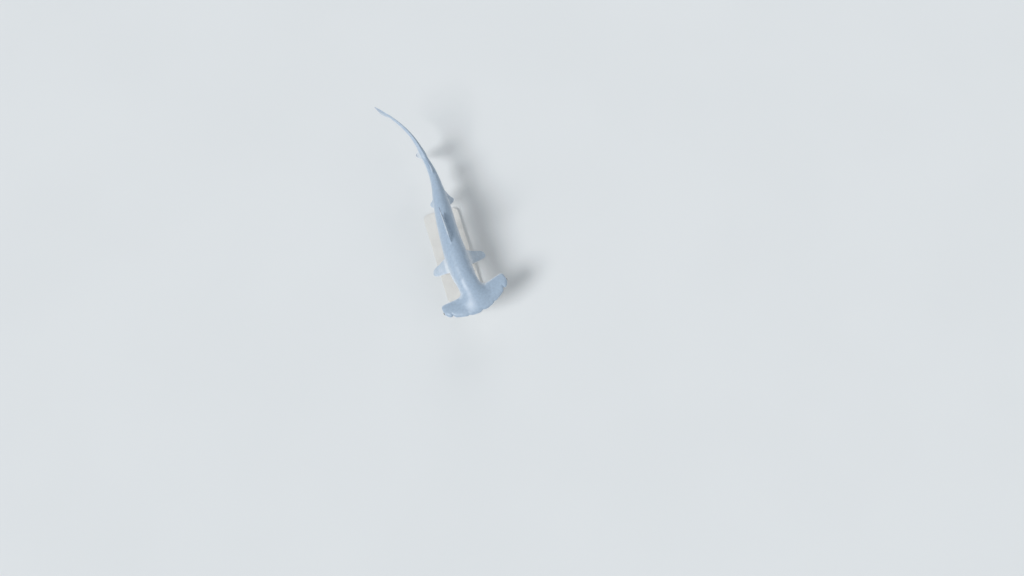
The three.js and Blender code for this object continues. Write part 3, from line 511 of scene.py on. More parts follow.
# The lids round the eyes and the lips along the low arch of the mouth: cords of putty laid on the
# bare cast and smoothed in with a wet finger, the lids as rings and the lips before and behind
# the line where the mouth is cut later.
UP = np.array([0, 0, 1.0])
LID_LEFT = 13.88
LID_RING = 0.72
LID_HALF = 0.14
LID_STEPS = 96
LID_SIDES = 16
LID_TONE = 0.4
MOUTH_TURN = 80
MOUTH_STEPS = 97
LIP_OFFSET = 0.3
LIP_HALF = 0.22
LIP_SIDES = 12
LIP_TONE = -1
LIP_FILLET = {"width": 0.004, "rounds": 4, "close": 0.0006}
TUBE_END = 0.004
TUBE_BLUNTNESS = 0.4
NEW_POINT = 2e-6
DEGENERATE = 1e-6
MERGE_REACH = 3
CLOSER = 0.8
JOIN_CORE = 0.3


def ways_at(back):
    """The body's own directions at a station: backwards, to its left and up."""
    angle, bank = (math.radians(through(table, back)) for table in (HEADING, BANK))
    left = np.array([math.cos(angle), math.sin(angle), 0])
    up = np.array([-math.sin(bank) * left[0], -math.sin(bank) * left[1], math.cos(bank)])
    return np.array([-math.sin(angle), math.cos(angle), 0]), left * math.cos(bank) + UP * math.sin(bank), up


def stacked_object(name, rings):
    """A closed body round a stack of rings with as many points each, flat at both ends."""
    rings = np.array(rings, float)
    index = np.arange(rings.shape[0] * rings.shape[1]).reshape(rings.shape[:2])
    sides = grid_faces(np.pad(index, ((0, 0), (0, 1)), "wrap"), False)
    return closed_object(name, rings.reshape(-1, 3), [*sides, index[0], index[-1]])


def ring_object(name, rings):
    """A closed ring through a circle of rings with as many points each."""
    index = np.arange(rings.shape[0] * rings.shape[1]).reshape(rings.shape[:2])
    return closed_object(name, rings.reshape(-1, 3), grid_faces(np.pad(index, (0, 1), "wrap"), False))


def tube_object(name, path, half_width, half_height, sides):
    """A closed tube along a path, which narrows to a point at both ends."""
    way = np.gradient(path, axis=0)
    way /= np.linalg.norm(way, axis=1)[:, None]
    across = np.cross(way, UP)
    across /= np.linalg.norm(across, axis=1)[:, None]
    over = np.cross(across, way)
    size = np.sin(np.pi * np.linspace(TUBE_END, 1 - TUBE_END, len(path))) ** TUBE_BLUNTNESS
    turn = np.linspace(0, 2 * np.pi, sides, endpoint=False)[None, :, None]
    wide = across[:, None] * np.cos(turn) * half_width
    high = over[:, None] * np.sin(turn) * half_height
    return stacked_object(name, path[:, None] + (wide + high) * size[:, None, None])


head_rearwards, head_leftwards, head_upwards = ways_at(EYE_BACK)


def eyelid(side):
    centre = place(EYE_BACK, side * LID_LEFT, seam_height(EYE_BACK, LID_LEFT))
    turn = np.linspace(0, 2 * np.pi, LID_STEPS, endpoint=False)[:, None]
    path = centre + PERCENT * LID_RING * (head_rearwards * np.cos(turn) + head_upwards * np.sin(turn))
    section = np.linspace(0, 2 * np.pi, LID_SIDES, endpoint=False)[None, :, None]
    outwards = ((path - centre) / (PERCENT * LID_RING))[:, None]
    around = outwards * np.cos(section) + head_leftwards * np.sin(section)
    return ring_object("eyelid", path[:, None] + PERCENT * LID_HALF * around)


def mouth_path(offset):
    turn = np.radians(np.linspace(-MOUTH_TURN, MOUTH_TURN, MOUTH_STEPS))
    outwards = 1 + offset / MOUTH_HALF
    back = MOUTH_FRONT + MOUTH_LENGTH * (1 - np.cos(turn) * outwards)
    left = MOUTH_HALF * np.sin(turn) * outwards
    return place(back, left, head_bottom(back, left, 0))


def joined(base, others, operation, name):
    """The base with other closed meshes joined to it or cut out of it, as a new object."""
    for other in others:
        modifier = base.modifiers.new(other.name, "BOOLEAN")
        modifier.operation = operation
        modifier.solver = "MANIFOLD"
        modifier.object = other
    result = bpy.data.meshes.new_from_object(base.evaluated_get(bpy.context.evaluated_depsgraph_get()))
    if len(result.vertices) == len(base.data.vertices):
        raise RuntimeError(f"the pieces weren't joined: {name}")
    for used in [base, *others]:
        bpy.data.objects.remove(used)
    piece = bpy.data.objects.new(name, result)
    bpy.context.scene.collection.objects.link(piece)
    return piece


def soften_joins(piece, known, width, rounds, close):
    """Rounds off the lines along which pieces were joined. The points there are new ones, and those
    that lie very close together are merged first, as close as the skin stays whole."""
    points = points_of(piece.data)
    joins = points[distances(points, known)[0] > NEW_POINT]
    gap = distances(points, joins)[0]
    whole = False
    while not whole:
        work = bmesh.new()
        work.from_mesh(piece.data)
        near = [vertex for vertex, space in zip(work.verts, gap) if space < MERGE_REACH * close]
        bmesh.ops.remove_doubles(work, verts=near, dist=close)
        bmesh.ops.dissolve_degenerate(work, edges=work.edges, dist=DEGENERATE)
        whole = all(edge.is_manifold for edge in work.edges)
        if whole:
            work.to_mesh(piece.data)
        work.free()
        close *= CLOSER
    points = points_of(piece.data)
    mask = fading(distances(points, joins)[0], width * JOIN_CORE, width)
    set_points(piece.data, soften(points, edges_of(piece.data), mask, rounds))
    return joins


def mark_whole(piece, flank, slit=0):
    """Notes the same marks for every point of a small piece, before it is joined or cut."""
    points = points_of(piece.data)
    sources.append((points, np.tile([flank, 0, slit, FAR, 0, 0], (len(points), 1))))


lids = [eyelid(side) for side in (1, -1)]
lip_size = PERCENT * LIP_HALF
lips = [tube_object("lip", mouth_path(way * LIP_OFFSET), lip_size, lip_size, LIP_SIDES) for way in (1, -1)]
for pieces, tone in ((lids, LID_TONE), (lips, LIP_TONE)):
    for piece in pieces:
        mark_whole(piece, tone)
known = np.concatenate([points_of(piece.data) for piece in [skin, *lids, *lips]])
skin = joined(skin, lids + lips, "UNION", "shark_skin")
soften_joins(skin, known, **LIP_FILLET)

# The fins: thin blades of the same cast, each set on the body with a soft fillet at its root.
# A row of a fin runs from its front edge to its hind edge, and the hind edge first follows the
# inner margin to the free rear tip and then the hind margin up to the apex.
FIRST_DORSAL = {
    "origin": 29, "root_half": 0.52, "tip_half": 0.09, "sink": 1.2, "fillet": 0.022,
    "tones": (0.8, 0.8), "root_tones": (0.95, 0.95),
    "front": [[0, -0.8, 0], [0.03, 0.1, 0.28], [0.07, 0.95, 0.95], [0.2, 2.6, 2.7], [0.42, 5.2, 6],
              [0.66, 7.5, 9.5], [0.88, 9.2, 12], [1, 10.1, 12.85]],
    "rear": [[0, 10, 0], [0.07, 13.4, 0.75], [0.2, 11.8, 2.2], [0.42, 10.8, 5], [0.66, 10.6, 8.6],
             [0.88, 11, 11.6], [1, 10.8, 12.8]]}
SECOND_DORSAL = {
    "origin": 62.2, "root_half": 0.25, "tip_half": 0.06, "sink": 0.8, "fillet": 0.012,
    "tones": (0.7, 0.7), "root_tones": (0.9, 0.9),
    "front": [[0, -0.4, 0], [0.08, 0.15, 0.18], [0.2, 0.7, 0.55], [0.6, 2.1, 1.65], [0.9, 3.2, 2.4],
              [1, 3.8, 2.6]],
    "rear": [[0, 3.6, 0], [0.12, 7.9, 0.5], [0.35, 5.7, 0.9], [0.65, 4.5, 1.6], [0.9, 4.4, 2.3],
             [1, 4.2, 2.55]]}
ANAL = {
    "origin": 59.4, "root_half": 0.28, "tip_half": 0.06, "sink": 0.8, "fillet": 0.012,
    "tones": (-0.05, -0.05), "root_tones": (-0.9, -0.9),
    "front": [[0, -0.4, 0], [0.08, 0.2, 0.28], [0.2, 1, 0.85], [0.6, 3, 2.6], [0.9, 4.9, 3.7],
              [1, 5.6, 3.9]],
    "rear": [[0, 6.1, 0], [0.12, 8.9, 0.75], [0.35, 6.9, 1.2], [0.62, 6, 2.1], [0.88, 6.1, 3.3],
             [1, 6, 3.85]]}
PECTORAL = {
    "origin": 20.8, "root_half": 0.62, "tip_half": 0.1, "sink": 1.6, "fillet": 0.024,
    "tones": (0.45, -0.75), "root_tones": (-0.1, -0.8), "dusky_tips": (0.2, 1),
    "left": 3.9, "up": -2.9, "droop": 39.5, "rake": 3,
    "front": [[0, 0, 0], [0.08, 0.35, 0.8], [0.22, 0.9, 2.2], [0.45, 1.6, 4.5], [0.68, 2.3, 6.8],
              [0.84, 2.95, 8.4], [0.94, 3.65, 9.25], [1, 4.4, 9.6]],
    "rear": [[0, 5.2, 0], [0.1, 7.2, 1.1], [0.22, 7, 2.3], [0.45, 6.6, 4.5], [0.68, 6.5, 6.7],
             [0.84, 6.2, 8.3], [0.94, 5.6, 9.2], [1, 4.8, 9.6]]}
PELVIC = {
    "origin": 48.9, "root_half": 0.3, "tip_half": 0.07, "sink": 1, "fillet": 0.014,
    "tones": (0.45, -0.75), "root_tones": (-0.5, -0.9), "dusky_tips": (0.2, 1),
    "left": 1.75, "up": -3.6, "droop": 38, "rake": 2,
    "front": [[0, 0, 0], [0.2, 0.85, 0.9], [0.6, 2.3, 2.7], [0.88, 3.5, 3.85], [1, 4.1, 4.1]],
    "rear": [[0, 5, 0], [0.14, 8.2, 0.9], [0.35, 6.9, 1.7], [0.65, 5.5, 2.9], [0.9, 5, 3.8],
             [1, 4.7, 4.08]]}
TAIL_LOWER = {
    "origin": 0, "root_half": 0.5, "tip_half": 0.08, "sink": 0, "fillet": 0.003,
    "tones": (0.15, 0.15), "root_tones": (0, 0),
    "front": [[0, 70.9, -1.2], [0.12, 71.7, -2.1], [0.35, 73.7, -4.3], [0.65, 76.2, -7.3],
              [0.88, 78.2, -9.4], [1, 79.5, -10.1]],
    "rear": [[0, 77, 0.5], [0.12, 77.6, -0.6], [0.35, 77.9, -3], [0.65, 78.9, -6.3],
             [0.88, 79.8, -8.9], [1, 79.9, -10]]}
SUNK_ROWS = 6
ROOT_ROWS = 22
BLADE_ROWS = 30
ROOT_SHARE = 0.2
FIN_CHORDS = 26
CHORD_BIAS = 0.8
TAPER = 0.9
TIP_LEAN = 0.25
TIP_ZONE = (0.55, 1.1)
EDGE_ZONE = (0, 0.07)
EDGE_TONE = 0.15
ROOT_ZONE = (0, 0.3)
FLARE_FRONT = (0, 0.08)
FLARE_REAR = 0.72
FLARE_LEAST = 0.35
RAYS = 46
FIN_FILLET = {"width": 0.02, "rounds": 30, "close": 0.0012}


def place_at_root(root, back, left, up):
    """The place of a paired fin's point: the fin keeps its shape and turns with its root's station."""
    angle = math.radians(through(HEADING, root))
    origin = place(root, 0, 0)
    over, high = banked(root, left, up)
    x = origin[0] + PERCENT * (over * math.cos(angle) - (back - root) * math.sin(angle))
    y = origin[1] + PERCENT * (over * math.sin(angle) + (back - root) * math.cos(angle))
    return np.stack([x, y, origin[2] + PERCENT * high], axis=-1)


def fin_rows(shape):
    """How far up the fin each row is, with close rows at the root and the tip; sunk rows are below 0."""
    sunk = np.linspace(-1, 0, SUNK_ROWS, endpoint=False) if shape["sink"] else np.zeros(0)
    root = np.linspace(0, ROOT_SHARE, ROOT_ROWS, endpoint=False)
    blade = ROOT_SHARE + (1 - ROOT_SHARE) * np.sin(np.linspace(0, np.pi / 2, BLADE_ROWS))
    return np.concatenate([sunk, root, blade])


def fin_object(name, shape, put):
    """A fin as a closed blade with both faces split alike, the marks of its points, and how far
    each of them may move when the root is flared."""
    row = fin_rows(shape)[:, None]
    along = np.maximum(row, 0)
    deep = np.minimum(row, 0) * shape["sink"]
    chord = (1 - np.cos(np.pi * np.linspace(0, 1, FIN_CHORDS + 1) ** CHORD_BIAS))[None] / 2
    x, y = (through(np.array(shape["front"])[:, [0, k]], along) * (1 - chord)
            + through(np.array(shape["rear"])[:, [0, k]], along) * chord for k in (1, 2))
    full = shape["tip_half"] + (shape["root_half"] - shape["tip_half"]) * (1 - along) ** TAPER
    half = full * foil(chord) + EDGE_HALF * np.minimum(1, chord * EDGE_RISE)
    points = np.concatenate([put(x, y + deep, sign * half).reshape(-1, 3) for sign in (1, -1)])
    index = np.arange(x.size).reshape(x.shape)
    grids = [index, index + x.size]
    faces = [*grid_faces(grids[0], False), *grid_faces(grids[1], True)]
    for edge in (0, -1):
        faces += list(grid_faces(np.stack([grid[:, edge] for grid in grids]), False))
        faces += list(grid_faces(np.stack([grid[edge] for grid in grids]), False))
    fin = closed_object(name, points, faces)
    nearest = distances(points_of(fin.data), points)[1]
    tip = smoothstep(along + TIP_LEAN * chord * along, *TIP_ZONE)
    rays = chord * RAYS * np.ones_like(along)
    at_edge = fading(chord, *EDGE_ZONE)
    at_root = fading(along, *ROOT_ZONE)
    marks = []
    for tone, root_tone, dusky in zip(shape["tones"], shape["root_tones"], shape.get("dusky_tips", (1, 1))):
        face = tone * (1 - at_edge) + EDGE_TONE * at_edge
        face = face * (1 - at_root) + root_tone * at_root
        marks.append(marked(x[..., None], face, tip * dusky, 0, FAR, 0, rays)[..., 1:].reshape(-1, 6))
    start = shape["front"][0][1]
    root = shape["rear"][0][1] - start
    held = fading(x - start, FLARE_REAR * root, root)
    if "droop" not in shape:
        held = held * smoothstep(chord, *FLARE_FRONT)
    return fin, np.concatenate(marks)[nearest], np.tile(held.ravel(), 2)[nearest]


def back_put(shape):
    return lambda x, y, thick: place(shape["origin"] + x, thick,
                                     through(BACK_HEIGHT, shape["origin"] + x) + y)


def belly_put(shape):
    return lambda x, y, thick: place(shape["origin"] + x, -thick,
                                     -through(BELLY_DEPTH, shape["origin"] + x) - y)


def paired_put(shape, side):
    droop = math.radians(shape["droop"])
    rake = math.tan(math.radians(shape["rake"]))

    def put(x, y, thick):
        left = shape["left"] + y * math.cos(droop) + thick * math.sin(droop)
        up = shape["up"] - y * math.sin(droop) + thick * math.cos(droop) - x * rake
        return place_at_root(shape["origin"], shape["origin"] + x, side * left, up)
    return put


def flare(fin, fillet, held, body_tree):
    """Widens the root of a fin, so that it leaves the body in a fillet instead of a sharp corner."""
    points = points_of(fin.data)
    normals = np.empty(points.size)
    fin.data.vertices.foreach_get("normal", normals)
    normals = normals.reshape(-1, 3)
    for i, point in enumerate(points):
        at, outward, _, gap = body_tree.find_nearest(Vector(point))
        inside = (Vector(point) - at).dot(outward) < 0
        share = FLARE_LEAST if inside else min(max(gap / fillet, FLARE_LEAST), 1)
        points[i] += normals[i] * held[i] * fillet * (1 - math.sqrt(1 - (1 - share) ** 2))
    set_points(fin.data, points)


plans = [("first_dorsal", FIRST_DORSAL, back_put(FIRST_DORSAL)),
         ("second_dorsal", SECOND_DORSAL, back_put(SECOND_DORSAL)),
         ("anal", ANAL, belly_put(ANAL)),
         ("tail_lower", TAIL_LOWER, lambda x, y, thick: place(x, -thick, y))]
for word, side in (("left", 1), ("right", -1)):
    for name, shape in (("pectoral", PECTORAL), ("pelvic", PELVIC)):
        plans.append((f"{name}_{word}", shape, paired_put(shape, side)))
body_tree = BVHTree.FromObject(skin, bpy.context.evaluated_depsgraph_get())
fins = []
for name, shape, put in plans:
    fin, marks, held = fin_object(name, shape, put)
    flare(fin, shape["fillet"], held, body_tree)
    fins.append(fin)
    sources.append((points_of(fin.data), marks))
known = np.concatenate([points_of(piece.data) for piece in [skin, *fins]])
skin = joined(skin, fins, "UNION", "shark_skin")
fin_joins = soften_joins(skin, known, **FIN_FILLET)

# The openings of the head: the mouth line, the nostrils with the grooves beside them and the round
# sockets for the eyes, all cut into the cast with small rotary burrs once the fins are on.
MOUTH_CUT = (0.12, 0.45)
MOUTH_SIDES = 14
NOSTRIL_LEFT = 11.45
NOSTRIL_HALF = (0.75, 0.5, 0.17)
NOSTRIL_BELOW = 0.18
NOSTRIL_SPAN = 1.2
NOSTRIL_RINGS = 16
GROOVE_FROM = 10.8
GROOVE_TO = 8.2
GROOVE_HALF = 0.1
GROOVE_BELOW = 0.3
GROOVE_INSET = 0.02
GROOVE_STEPS = 33
GROOVE_SIDES = 10
EYE_RADIUS = 0.82
SOCKET_GAP = 0.0004
BALL_RINGS = 32
CUT_TONE = -1
SOCKET_TONE = 0.2
# How deep the painted shade is in each kind of opening: dark paint standing in for the shade inside it.
PAINTED_SHADE_DEPTH = {"cut": 1, "groove": 0.35, "socket": 0.6}


def ball_object(name, centre, radius, axes, rings):
    """A ball or an egg with its own half measures along three directions."""
    work = bmesh.new()
    bmesh.ops.create_uvsphere(work, u_segments=2 * rings, v_segments=rings, radius=1)
    for vertex in work.verts:
        offset = sum(size * way * part for size, way, part in zip(radius, axes, vertex.co))
        vertex.co = Vector(centre + offset)
    points = np.array([vertex.co for vertex in work.verts])
    faces = [[vertex.index for vertex in face.verts] for face in work.faces]
    work.free()
    return closed_object(name, points, faces)


def nostril(side):
    back = front_edge(NOSTRIL_LEFT)
    rise = front_edge(NOSTRIL_LEFT + NOSTRIL_SPAN) - front_edge(NOSTRIL_LEFT - NOSTRIL_SPAN)
    slope = math.atan(rise / (2 * NOSTRIL_SPAN))
    along = math.cos(slope) * side * head_leftwards + math.sin(slope) * head_rearwards
    inwards = math.cos(slope) * head_rearwards - math.sin(slope) * side * head_leftwards
    centre = place(back, side * NOSTRIL_LEFT, seam_height(back, NOSTRIL_LEFT) - NOSTRIL_BELOW)
    half = PERCENT * np.array(NOSTRIL_HALF)
    return ball_object("nostril", centre, half, [along, inwards, head_upwards], NOSTRIL_RINGS)


def narial_groove(side):
    left = np.linspace(GROOVE_FROM, GROOVE_TO, GROOVE_STEPS)
    back = front_edge(left) + GROOVE_INSET
    path = place(back, side * left, seam_height(back, left) - GROOVE_BELOW)
    return tube_object("narial_groove", path, PERCENT * GROOVE_HALF, PERCENT * GROOVE_HALF, GROOVE_SIDES)


def eye_centre(side):
    return place(EYE_BACK, side * EYE_LEFT, seam_height(EYE_BACK, EYE_LEFT))


mouth = tube_object("mouth", mouth_path(0), PERCENT * MOUTH_CUT[0], PERCENT * MOUTH_CUT[1], MOUTH_SIDES)
cuts = [mouth, nostril(1), nostril(-1)]
grooves = [narial_groove(1), narial_groove(-1)]
socket_radius = np.full(3, PERCENT * EYE_RADIUS + SOCKET_GAP)
sockets = [ball_object("socket", eye_centre(side), socket_radius, np.eye(3), BALL_RINGS) for side in (1, -1)]
# The cut pieces mark the skin of each opening for its painted shade: dark paint inside the mouth, nostrils,
# grooves and eye sockets.
for pieces, tone, kind in ((cuts, CUT_TONE, "cut"), (grooves, CUT_TONE, "groove"),
                           (sockets, SOCKET_TONE, "socket")):
    for piece in pieces:
        mark_whole(piece, tone, PAINTED_SHADE_DEPTH[kind])
skin = joined(skin, cuts + grooves + sockets, "DIFFERENCE", "shark_skin")

# The paint of the cast: airbrushed in thin coats, blue grey on the back and pale below, with soft
# mottling, a faint side line, dusky fin tips and painted shade, dark paint in the gill slits, mouth,
# nostrils, grooves and eye sockets, and sealed with a satin varnish.
METRE_MM = 1000
BACK_GREY = "#9babbc"
FLANK_GREY = "#cbd2d9"
BELLY_PALE = "#eeece8"
DUSKY = "#63728a"
# The dark colour of the painted shade in the slits and the cut openings.
SLIT_PAINTED_SHADE = "#3a3236"
MARKS = ("flank", "fin_tip", "slit", "side_line", "pored", "fin_ray")

# Soft patterns: how wide their patches are in millimetres and how detailed. Then what is drawn from
# them: which one it follows, between which limits, and what it is at each of these.
PATTERNS = {"patches": (50, 4), "blotches": (20, 3), "speckle": (4, 2)}
PATTERN_RANGES = {
    "drift": ("patches", 0.3, 0.7, -0.07, 0.07), "shade": ("blotches", 0.25, 0.75, 0.93, 1.06),
    "grain": ("speckle", 0.3, 0.7, 0.965, 1.03), "sheen": ("blotches", 0.3, 0.7, 0.36, 0.5),
    "pores": ("dots", 0.1, 0.17, 1, 0)}
# Coats of paint, told in the same way with a colour each, and reliefs, each with its strength and
# its depth in metres.
FIRST_COATS = [("uneven", -0.5, -0.02, 0, 1, FLANK_GREY), ("uneven", -0.08, 0.8, 0, 1, BACK_GREY)]
# The last coats: dusky fin tips, a dusky side line, and painted shade in the slits and openings.
LAST_COATS = [("fin_tip", 0.35, 1, 0, 0.6, DUSKY), ("beside_line", 0.015, 0.08, 0.14, 0, DUSKY),
              ("slit", 0.25, 1, 0, 0.9, SLIT_PAINTED_SHADE)]
SKIN_RELIEFS = {"grain": (0.25, 0.0004), "blotches": (0.3, 0.002), "rays": (0.35, 0.0003),
                "pores": (0.6, 0.0008)}
PORE_SPACING_MM = 9
PORE_DARKNESS = 0.3
SKIN_GRAIN_MM = 1.6
MARK_ROUNDS = 2
SEAM_ZONE = (0.01, 0.045)
SEAM_ROUNDS = 40


def linear(colour):
    """An sRGB hex colour as linear red, green, blue and alpha."""
    parts = [int(colour[i:i + 2], 16) / 255 for i in (1, 3, 5)]
    return [*(part / 12.92 if part <= 0.04045 else ((part + 0.055) / 1.055) ** 2.4 for part in parts), 1]


def add_node(tree, kind, inputs=(), **settings):
    """A node with its settings and its inputs, by name or in order, each a socket to link or a value."""
    node = tree.nodes.new(kind)
    for name, value in settings.items():
        setattr(node, name, value)
    for key, value in inputs.items() if isinstance(inputs, dict) else enumerate(inputs):
        if isinstance(value, bpy.types.NodeSocket):
            tree.links.new(value, node.inputs[key])
        else:
            node.inputs[key].default_value = value
    return node


def new_material(name, **sockets):
    """A material with some of its shader's sockets set, its tree, its shader and its coordinates."""
    material = bpy.data.materials.new(name)
    material.use_nodes = True
    tree = material.node_tree
    shader = tree.nodes["Principled BSDF"]
    for key, value in sockets.items():
        shader.inputs[key.replace("_", " ")].default_value = value
    return material, tree, shader, add_node(tree, "ShaderNodeTexCoord").outputs["Object"]


def coated(tree, under, over, follows, low, high, at_low=0, at_high=1):
    """One colour over another, as far as what it follows says between two limits."""
    share = add_node(tree, "ShaderNodeMapRange", (follows, low, high, at_low, at_high),
                     interpolation_type="SMOOTHSTEP").outputs[0]
    return add_node(tree, "ShaderNodeMix", {0: share, 6: under, 7: over}, data_type="RGBA").outputs[2]


def skin_material():
    # Paint on glass fibre, sprayed and varnished: the satin coat gives broad soft highlights, and the
    # relief under it breaks them up. The skin's teeth are 0.3 mm wide in life and the rays of a fin
    # 1 mm apart, too fine to show, so both are drawn several times as coarse.
    material, tree, shader, here = new_material("painted shark skin, satin varnish",
                                                Coat_Weight=0.12, Coat_Roughness=0.3)
    found = {}
    for name in MARKS:
        found[name] = add_node(tree, "ShaderNodeAttribute", attribute_name=name).outputs["Fac"]
    for name, (size, detail) in PATTERNS.items():
        texture = {"Vector": here, "Scale": METRE_MM / size, "Detail": detail}
        found[name] = add_node(tree, "ShaderNodeTexNoise", texture).outputs["Fac"]
    dots = {"Vector": here, "Scale": METRE_MM / PORE_SPACING_MM}
    found["dots"] = add_node(tree, "ShaderNodeTexVoronoi", dots).outputs["Distance"]
    for name, (follows, *limits) in PATTERN_RANGES.items():
        found[name] = add_node(tree, "ShaderNodeMapRange", (found[follows], *limits),
                               interpolation_type="SMOOTHSTEP").outputs[0]
    sums = {"uneven": ("ADD", "drift", "flank"), "beside_line": ("ABSOLUTE", "side_line"),
            "mottling": ("MULTIPLY", "shade", "grain"), "pits": ("MULTIPLY", "pores", "pored")}
    for name, (operation, *parts) in sums.items():
        found[name] = add_node(tree, "ShaderNodeMath", [found[part] for part in parts],
                               operation=operation).outputs[0]
    colour = linear(BELLY_PALE)
    for follows, *limits, paint in FIRST_COATS:
        colour = coated(tree, colour, linear(paint), found[follows], *limits)
    mottling = add_node(tree, "ShaderNodeCombineColor", [found["mottling"]] * 3).outputs[0]
    colour = add_node(tree, "ShaderNodeMix", {0: 1, 6: colour, 7: mottling}, data_type="RGBA",
                      blend_type="MULTIPLY").outputs[2]
    for follows, *limits, paint in LAST_COATS:
        colour = coated(tree, colour, linear(paint), found[follows], *limits)
    share = add_node(tree, "ShaderNodeMapRange", (found["pits"], 0, 1, 0, PORE_DARKNESS)).outputs[0]
    colour = add_node(tree, "ShaderNodeMix", {0: share, 6: colour, 7: linear(DUSKY)},
                      data_type="RGBA").outputs[2]
    tree.links.new(colour, shader.inputs["Base Color"])
    tree.links.new(found["sheen"], shader.inputs["Roughness"])
    cells = add_node(tree, "ShaderNodeTexVoronoi", {"Vector": here, "Scale": METRE_MM / SKIN_GRAIN_MM})
    ribs = found["fin_ray"]
    for operation, *others in (("MULTIPLY", 2 * math.pi), ("SINE",), ("MULTIPLY", found["fin_tip"])):
        ribs = add_node(tree, "ShaderNodeMath", (ribs, *others), operation=operation).outputs[0]
    heights = {"grain": cells.outputs["Distance"], "blotches": found["blotches"], "rays": ribs,
               "pores": found["pits"]}
    below = {}
    for name, height in heights.items():
        strength, depth = SKIN_RELIEFS[name]
        relief = add_node(tree, "ShaderNodeBump", {"Height": height, "Strength": strength, "Distance": depth,
                                                   **below}, invert=name == "pores")
        below = {"Normal": relief.outputs[0]}
    tree.links.new(relief.outputs[0], shader.inputs["Normal"])
    return material


def finish_piece(piece, material, slot, *nodes):
    """Smooth shading, the material, and what the piece is in the frame."""
    piece.data.shade_smooth()
    piece.data.materials.clear()
    piece.data.materials.append(material)
    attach(piece, "root")
    if nodes:
        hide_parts(*nodes)


def note(piece, name, values):
    """An attribute of the piece's points, for its material."""
    layer = piece.data.attributes.new(name, "FLOAT", "POINT")
    layer.data.foreach_set("value", values.astype(np.float32))


source_points = np.concatenate([points for points, _ in sources])
source_marks = np.concatenate([marks for _, marks in sources])
skin_marks = source_marks[distances(points_of(skin.data), source_points)[1]]
near_fins = fading(distances(points_of(skin.data), fin_joins)[0], *SEAM_ZONE)
skin_marks = soften(skin_marks, edges_of(skin.data), np.ones(len(skin_marks)), MARK_ROUNDS)
skin_marks[:, 0:1] = soften(skin_marks[:, 0:1], edges_of(skin.data), near_fins, SEAM_ROUNDS)
for name, values in zip(MARKS, skin_marks.T):
    note(skin, name, values)
flesh = [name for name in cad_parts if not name.startswith(("eye_", "stand_"))]
finish_piece(skin, skin_material(), "skin", *flesh)

# The eyes: glass eyes, cast with a silvery iris round a dark, upright pupil, ground and polished,
# and cemented into the sockets behind the lids.
IRIS_SILVER = "#b9b39c"
IRIS_DARK = "#5b5647"
PUPIL_BLACK = "#08090a"
PUPIL_HALF = (0.25, 0.36)
IRIS_HALF = 0.66
BEHIND = 4
IRIS_FIBRES_MM = 1.5
IRIS_DETAIL = 4
FIBRE_RANGE = (0.35, 0.65)
IRIS_RIM = (0.86, 1)
PUPIL_RIM = (1.12, 0.98)

# Polished glass: a small, very sharp highlight over the iris. The iris's fibres are 0.2 mm wide in
# life and drawn coarser.
glass, tree, shader, here = new_material("glass eye, polished",
                                         Roughness=0.06, Coat_Weight=1, Coat_Roughness=0.02)
pupil, iris = (add_node(tree, "ShaderNodeAttribute", attribute_name=name).outputs["Fac"]
               for name in ("pupil", "iris"))
texture = {"Vector": here, "Scale": METRE_MM / IRIS_FIBRES_MM, "Detail": IRIS_DETAIL}
fibres = add_node(tree, "ShaderNodeTexNoise", texture).outputs["Fac"]
ring = coated(tree, linear(IRIS_DARK), linear(IRIS_SILVER), fibres, *FIBRE_RANGE)
colour = coated(tree, ring, linear(PUPIL_BLACK), iris, *IRIS_RIM)
colour = coated(tree, colour, linear(PUPIL_BLACK), pupil, *PUPIL_RIM)
tree.links.new(colour, shader.inputs["Base Color"])

for word, side in (("left", 1), ("right", -1)):
    centre = eye_centre(side)
    eye = ball_object(f"eyeball_{word}", centre, np.full(3, PERCENT * EYE_RADIUS), np.eye(3), BALL_RINGS)
    ways = (points_of(eye.data) - centre) / (PERCENT * EYE_RADIUS)
    across = ways @ head_rearwards
    upright = ways @ head_upwards
    in_front = np.where(ways @ head_leftwards * side > 0, 0, BEHIND)
    note(eye, "pupil", np.hypot(across / PUPIL_HALF[0], upright / PUPIL_HALF[1]) + in_front)
    note(eye, "iris", np.hypot(across, upright) / IRIS_HALF + in_front)
    finish_piece(eye, glass, "eye", f"eye_{word}")

# The base: a flat board of fibreboard with round corners, its edges and the narrow shadow groove
# below its top moulded with a router, sprayed with a satin lacquer.
BASE_LENGTH = 1.0
BASE_WIDTH = 0.36
BASE_THICKNESS = 0.03
BASE_CORNER = 0.06
CORNER_STEPS = 24
BASE_EDGE = 0.003
EDGE_STEPS = 6
SHADOW_GROOVE = [(0, 0.0025), (0.002, 0.0020), (0.002, 0.0005), (0, 0)]
SHADOW_GROOVE_TOP = BASE_THICKNESS - 0.008
BASE_SHARP = 40
BASE_WHITE = "#d2d2d0"
LACQUER_DARKEST = 0.94
LACQUER_SHEEN = (0.42, 0.5)
CLOUD_MM = 120
CLOUD_DETAIL = 3
ORANGE_PEEL_MM = 2.5
ORANGE_PEEL_DETAIL = 2
ORANGE_PEEL_RELIEF = (0.12, 0.0003)
USUAL_RANGE = (0.3, 0.7)


def varied(tree, shader, colour, darkest, pattern, limits=USUAL_RANGE, sheen=None, relief=None):
    """A colour that darkens a little in soft patches, with its range of roughness and its relief."""
    dark = [darkest * part for part in linear(colour)[:3]] + [1]
    tree.links.new(coated(tree, dark, linear(colour), pattern, *limits), shader.inputs["Base Color"])
    if sheen:
        rough = add_node(tree, "ShaderNodeMapRange", (pattern, *USUAL_RANGE, *sheen),
                         interpolation_type="SMOOTHSTEP")
        tree.links.new(rough.outputs[0], shader.inputs["Roughness"])
    if relief:
        height, strength, depth = relief
        bump = add_node(tree, "ShaderNodeBump", {"Height": height, "Strength": strength, "Distance": depth})
        tree.links.new(bump.outputs[0], shader.inputs["Normal"])


